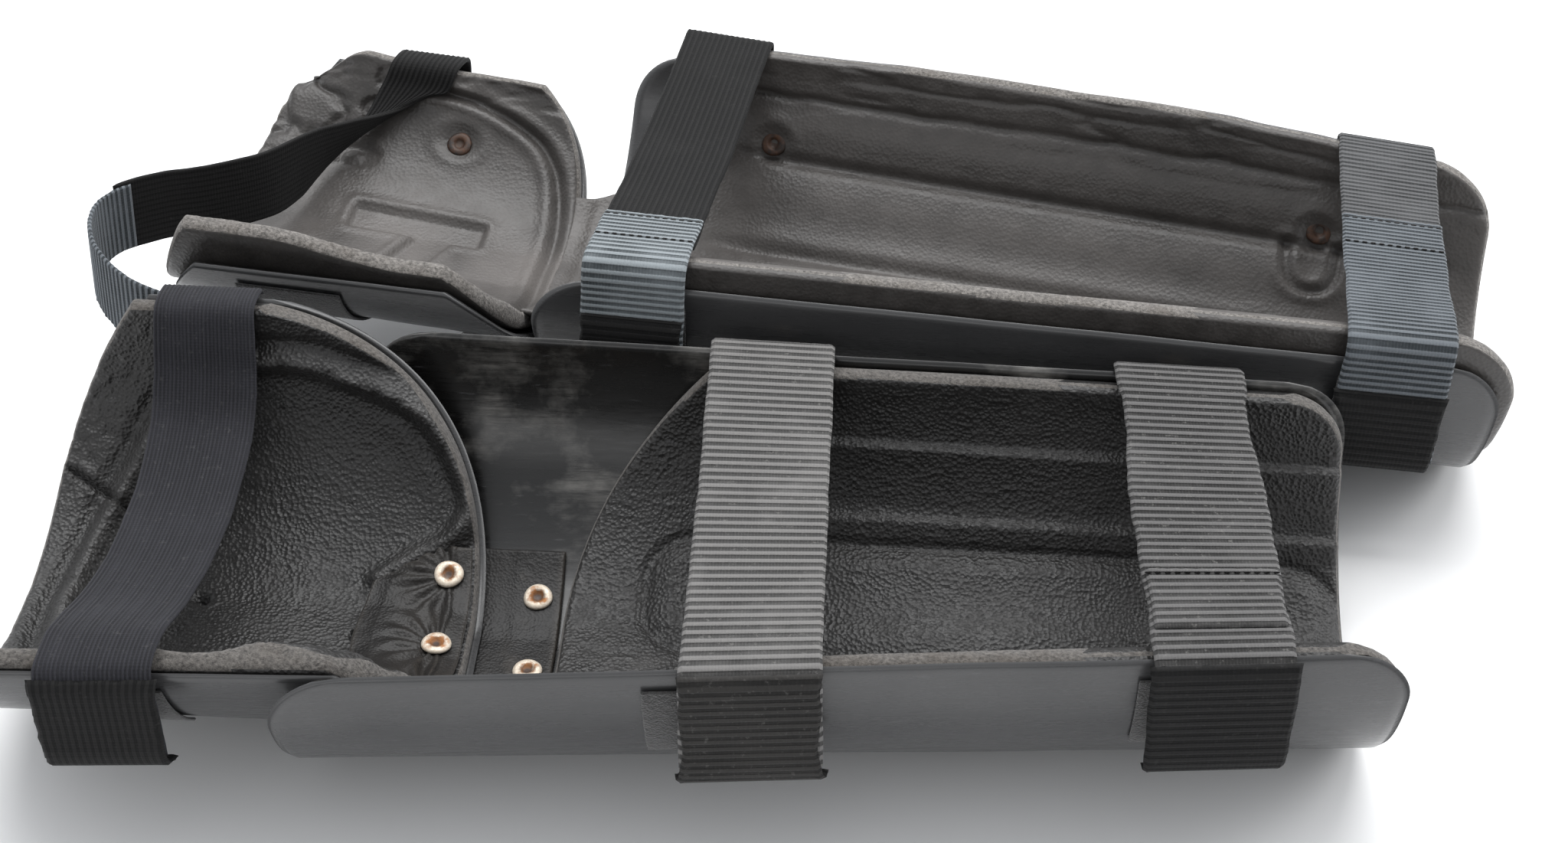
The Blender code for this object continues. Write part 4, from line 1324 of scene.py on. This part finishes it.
def lint(name, path, widths, count, spread, body, seed):
    """Loose fibres that stand out of a strap's worn edge."""
    generator = np.random.default_rng(seed)
    verts, faces = [], []
    for _ in range(count):
        index = int(generator.uniform(*spread) * (len(path) - 2))
        start = path[index] + widths[index] * generator.uniform(-0.5, 0.5)
        way = generator.normal(size=3) * np.array([1.0, 0.5, 0.3]) + np.array([0, 0.4, 0.9])
        way /= np.linalg.norm(way)
        curl = generator.normal(size=3) * 0.5
        length = generator.uniform(0.0010, 0.0026)
        faces += tube_faces(len(verts), 6, 3)
        for t in np.arange(6) / 5:
            middle = start + way * length * t + curl * length * t * t
            thick = 0.00006 * (1.2 - t)
            for turn in range(3):
                angle = turn * 2 * math.pi / 3
                verts.append(middle + thick * np.array([math.cos(angle), math.sin(angle), 0.3]))
    obj = new_object(name, verts, faces, [PAINT["lint"]], GUARD["left"])
    finish_piece(obj, body, "strap_webbing")


def right_straps():
    """Two straps in two parts sewn together, over the lining's raised edge."""
    trough = SHIN["right"]
    level = RIGHT_RIM + SHIN_LIP + 0.0012
    sag = [(0.035, level - 0.001), (0.0, level - 0.002), (-0.035, level - 0.001)]
    elastic = {"ribs": (0.0020, 0.00010), "along": True, "columns": 80, "step": 0.0016}
    band = {"ribs": (0.0016, 0.00010), "columns": 30, "step": 0.0005}
    for name, join, first_paint, weave, second_paint, seed in (
            ("calf_strap", -0.0520, "black_elastic", elastic, "pale_webbing", 201),
            ("ankle_strap", 0.0120, "band", band, "slate_webbing", 231)):
        x, width = STRAPS["right"][name]
        path, widths, hang, bottom = route_of(trough, x, width, sag, (SHIN_LIP, SHIN_LIP),
                                              RIGHT_RIM, STRAP_DROP)
        body = f"right_{name}"
        share = split_at(path, join)
        first, first_wide = cut(path, widths, 0.0, min(share + 0.05, 1.0))
        obj = strap(f"{body}_inner", first, first_wide, WEBBING, first_paint, "right", **weave,
                    wander=0.0003, seed=seed)
        finish_piece(obj, body, "strap_elastic", body)
        second, second_wide = cut(path, widths, share, 1.0)
        obj = strap(f"{body}_webbing", second, second_wide * 1.02, 0.0014, second_paint,
                    "right", ribs=(0.0024, 0.00016), columns=30, step=0.00045, fray=0.0003,
                    wander=0.0004, seed=seed + 7, lift=0.0013)
        finish_piece(obj, body, "strap_webbing")
        stitch_row("right", name, path, widths, (join - 0.003, join - 0.018), 0.0023,
                   "strap_elastic")
        tail("right", name, width * 1.02, hang + 0.0012, RIGHT_RIM - 0.010, bottom, trough,
             "black_tab", seed + 13)


def knee_loop():
    """The right knee strap: it leaves the far rim, stands on edge and loops round the end."""
    trough = CUP["right"]["trough"]
    rim = float(trough.height(CUP["right"]["section"][1]))
    half = float(trough.reach(-0.229, rim))
    width = 0.026
    along, upright = (width, 0.0, 0.0), (0.0, 0.0, width)
    stations = [
        ((-0.229, half + 0.0019, rim - 0.0002), along),
        ((-0.229, half + 0.0019, rim + 0.0045), along),
        ((-0.229, half - 0.0010, rim + 0.0084), along),
        ((-0.230, half - 0.0110, rim + 0.0088), along),
        ((-0.233, 0.0610, rim + 0.0010), along),
        ((-0.2385, 0.0560, 0.0430), (0.0235, 0.006, 0.009)),
        ((-0.2470, 0.0470, 0.0370), (0.019, 0.012, 0.013)),
        ((-0.2550, 0.0350, 0.0345), (0.012, 0.014, 0.018)),
        ((-0.2620, 0.0180, 0.0350), (0.004, 0.008, 0.024)),
        ((-0.2690, -0.0020, 0.0370), upright),
        ((-0.2830, -0.0170, 0.0380), upright),
        ((-0.2980, -0.0270, 0.0380), upright),
        ((-0.3100, -0.0400, 0.0375), upright),
        ((-0.3115, -0.0560, 0.0370), upright),
        ((-0.3020, -0.0750, 0.0360), upright),
        ((-0.2820, -0.0900, 0.0340), upright),
        ((-0.2550, -0.0935, 0.0325), upright),
        ((-0.2280, -0.0920, 0.0320), upright),
    ]
    path = smooth_points([place for place, _ in stations], SPAN)
    widths = smooth_points([way for _, way in stations], SPAN)
    widths = widths / np.linalg.norm(widths, axis=1, keepdims=True) * width
    body = "right_knee_strap"
    share = 11.6 / (len(stations) - 1)
    first, first_wide = cut(path, widths, 0.0, share + 0.02)
    obj = strap(f"{body}_elastic", first, first_wide, WEBBING, "black_elastic", "right",
                ribs=(0.0020, 0.00012), along=True, columns=90, step=0.0018, wander=0.0003,
                seed=261)
    finish_piece(obj, body, "strap_elastic", body)
    second, second_wide = cut(path, widths, share, 1.0)
    obj = strap(f"{body}_webbing", second, second_wide * 0.98, 0.0014, "slate_webbing", "right",
                ribs=(0.0024, 0.00022), columns=30, step=0.00045, fray=0.0003, wander=0.0004,
                seed=271, lift=-0.0013)
    finish_piece(obj, body, "strap_webbing")
    hook = np.array([(x, -0.0904, 0.0325) for x in np.linspace(-0.2520, -0.2300, 12)])
    wide = np.tile([0.0, 0.0, width * 0.9], (len(hook), 1))
    obj = strap(f"{body}_hook_tape", hook, wide, HOOK, "fuzzy", "right", fray=0.0003, seed=281)
    finish_piece(obj, body, "hook_and_loop", f"{body}_hook")


# ------------------------------------------------------------------ anchors and patches

def fastening(side, name, trough, body, rims, paint, shift):
    """The anchor of a strap with its washer on the far wall, and the loop patch on the near."""
    x, width = STRAPS[side][name]
    half = width / 2
    far_rim, near_rim = rims
    piece = f"{side}_{name}"
    top = far_rim - 0.0024
    limits = (trough.angle_at(top - ANCHOR_LENGTH, 1), trough.angle_at(top, 1))
    sheet = trough_sheet(trough, band_ends(x - half, x + half), limits, -(GAP + WEBBING),
                         size=(90, 40))
    ribs = 0.00014 * np.sin(sheet.run_s * 2 * math.pi / 0.0024)
    obj = thick_sheet(f"{piece}_anchor_patch", sheet, WEBBING - 0.0001, -ribs, 0.0005,
                      [PAINT[paint]], GUARD[side])
    swap_lay(obj)
    finish_piece(obj, body, "strap_elastic", f"{piece}_anchor")
    angle = trough.angle_at(top - ANCHOR_LENGTH / 2, 1)
    rivet(f"{piece}_anchor_washer", f"{piece}_anchor_rivet", body, "rivet",
          Vector(trough.point(x, angle, -(GAP + WEBBING))), trough.normal(x, angle), side)

    top = near_rim - 0.006
    limits = (trough.angle_at(top, -1), trough.angle_at(top - 0.030, -1))
    sheet = trough_sheet(trough, band_ends(x - half - shift, x + half - shift / 2), limits,
                         -(GAP + PATCH), size=(60, 70))
    tuft = 0.00022 * cloudy(sheet.points, 800.0, 91)
    obj = thick_sheet(f"{piece}_loop_patch", sheet, PATCH, 0.0001 - np.abs(tuft), 0.0004,
                      [PAINT["fuzzy"]], GUARD[side])
    finish_piece(obj, body, "hook_and_loop", f"{piece}_patch")


def swap_lay(obj):
    """Turns a sheet's measure, so that ribs run across a piece that lies round the trough."""
    data = obj.data.attributes["lay"].data
    values = np.zeros(len(data) * 3, np.float32)
    data.foreach_get("vector", values)
    values = values.reshape(-1, 3)[:, [1, 0, 2]]
    data.foreach_set("vector", values.ravel())


def make_fastenings():
    """The fastenings of all six straps; the patches lie a little to one side of some straps."""
    for side, rim, paint, shifts in (
            ("left", LEFT_RIM, "webbing", (0.010, 0.003, 0.0)),
            ("right", RIGHT_RIM, "slate_webbing", (0.0, 0.0, 0.010))):
        for name, shift in zip(("calf_strap", "ankle_strap"), shifts):
            fastening(side, name, SHIN[side], f"{side}_shin", (rim, rim), paint, shift)
        trough, section = CUP[side]["trough"], CUP[side]["section"]
        near, far = (float(trough.height(angle)) for angle in section)
        fastening(side, "knee_strap", trough, f"{side}_knee", (far, near), "slate_webbing",
                  shifts[2])


make_camera()
make_studio()
make_floor()
make_shells()
left_shin_lining()
left_knee_lining()
right_shin_lining()
right_knee_lining()
right_bridge()
for each_side in ("left", "right"):
    hinge_strip(each_side)
knee_tab()
make_rivets()
left_straps()
right_straps()
knee_loop()
make_fastenings()
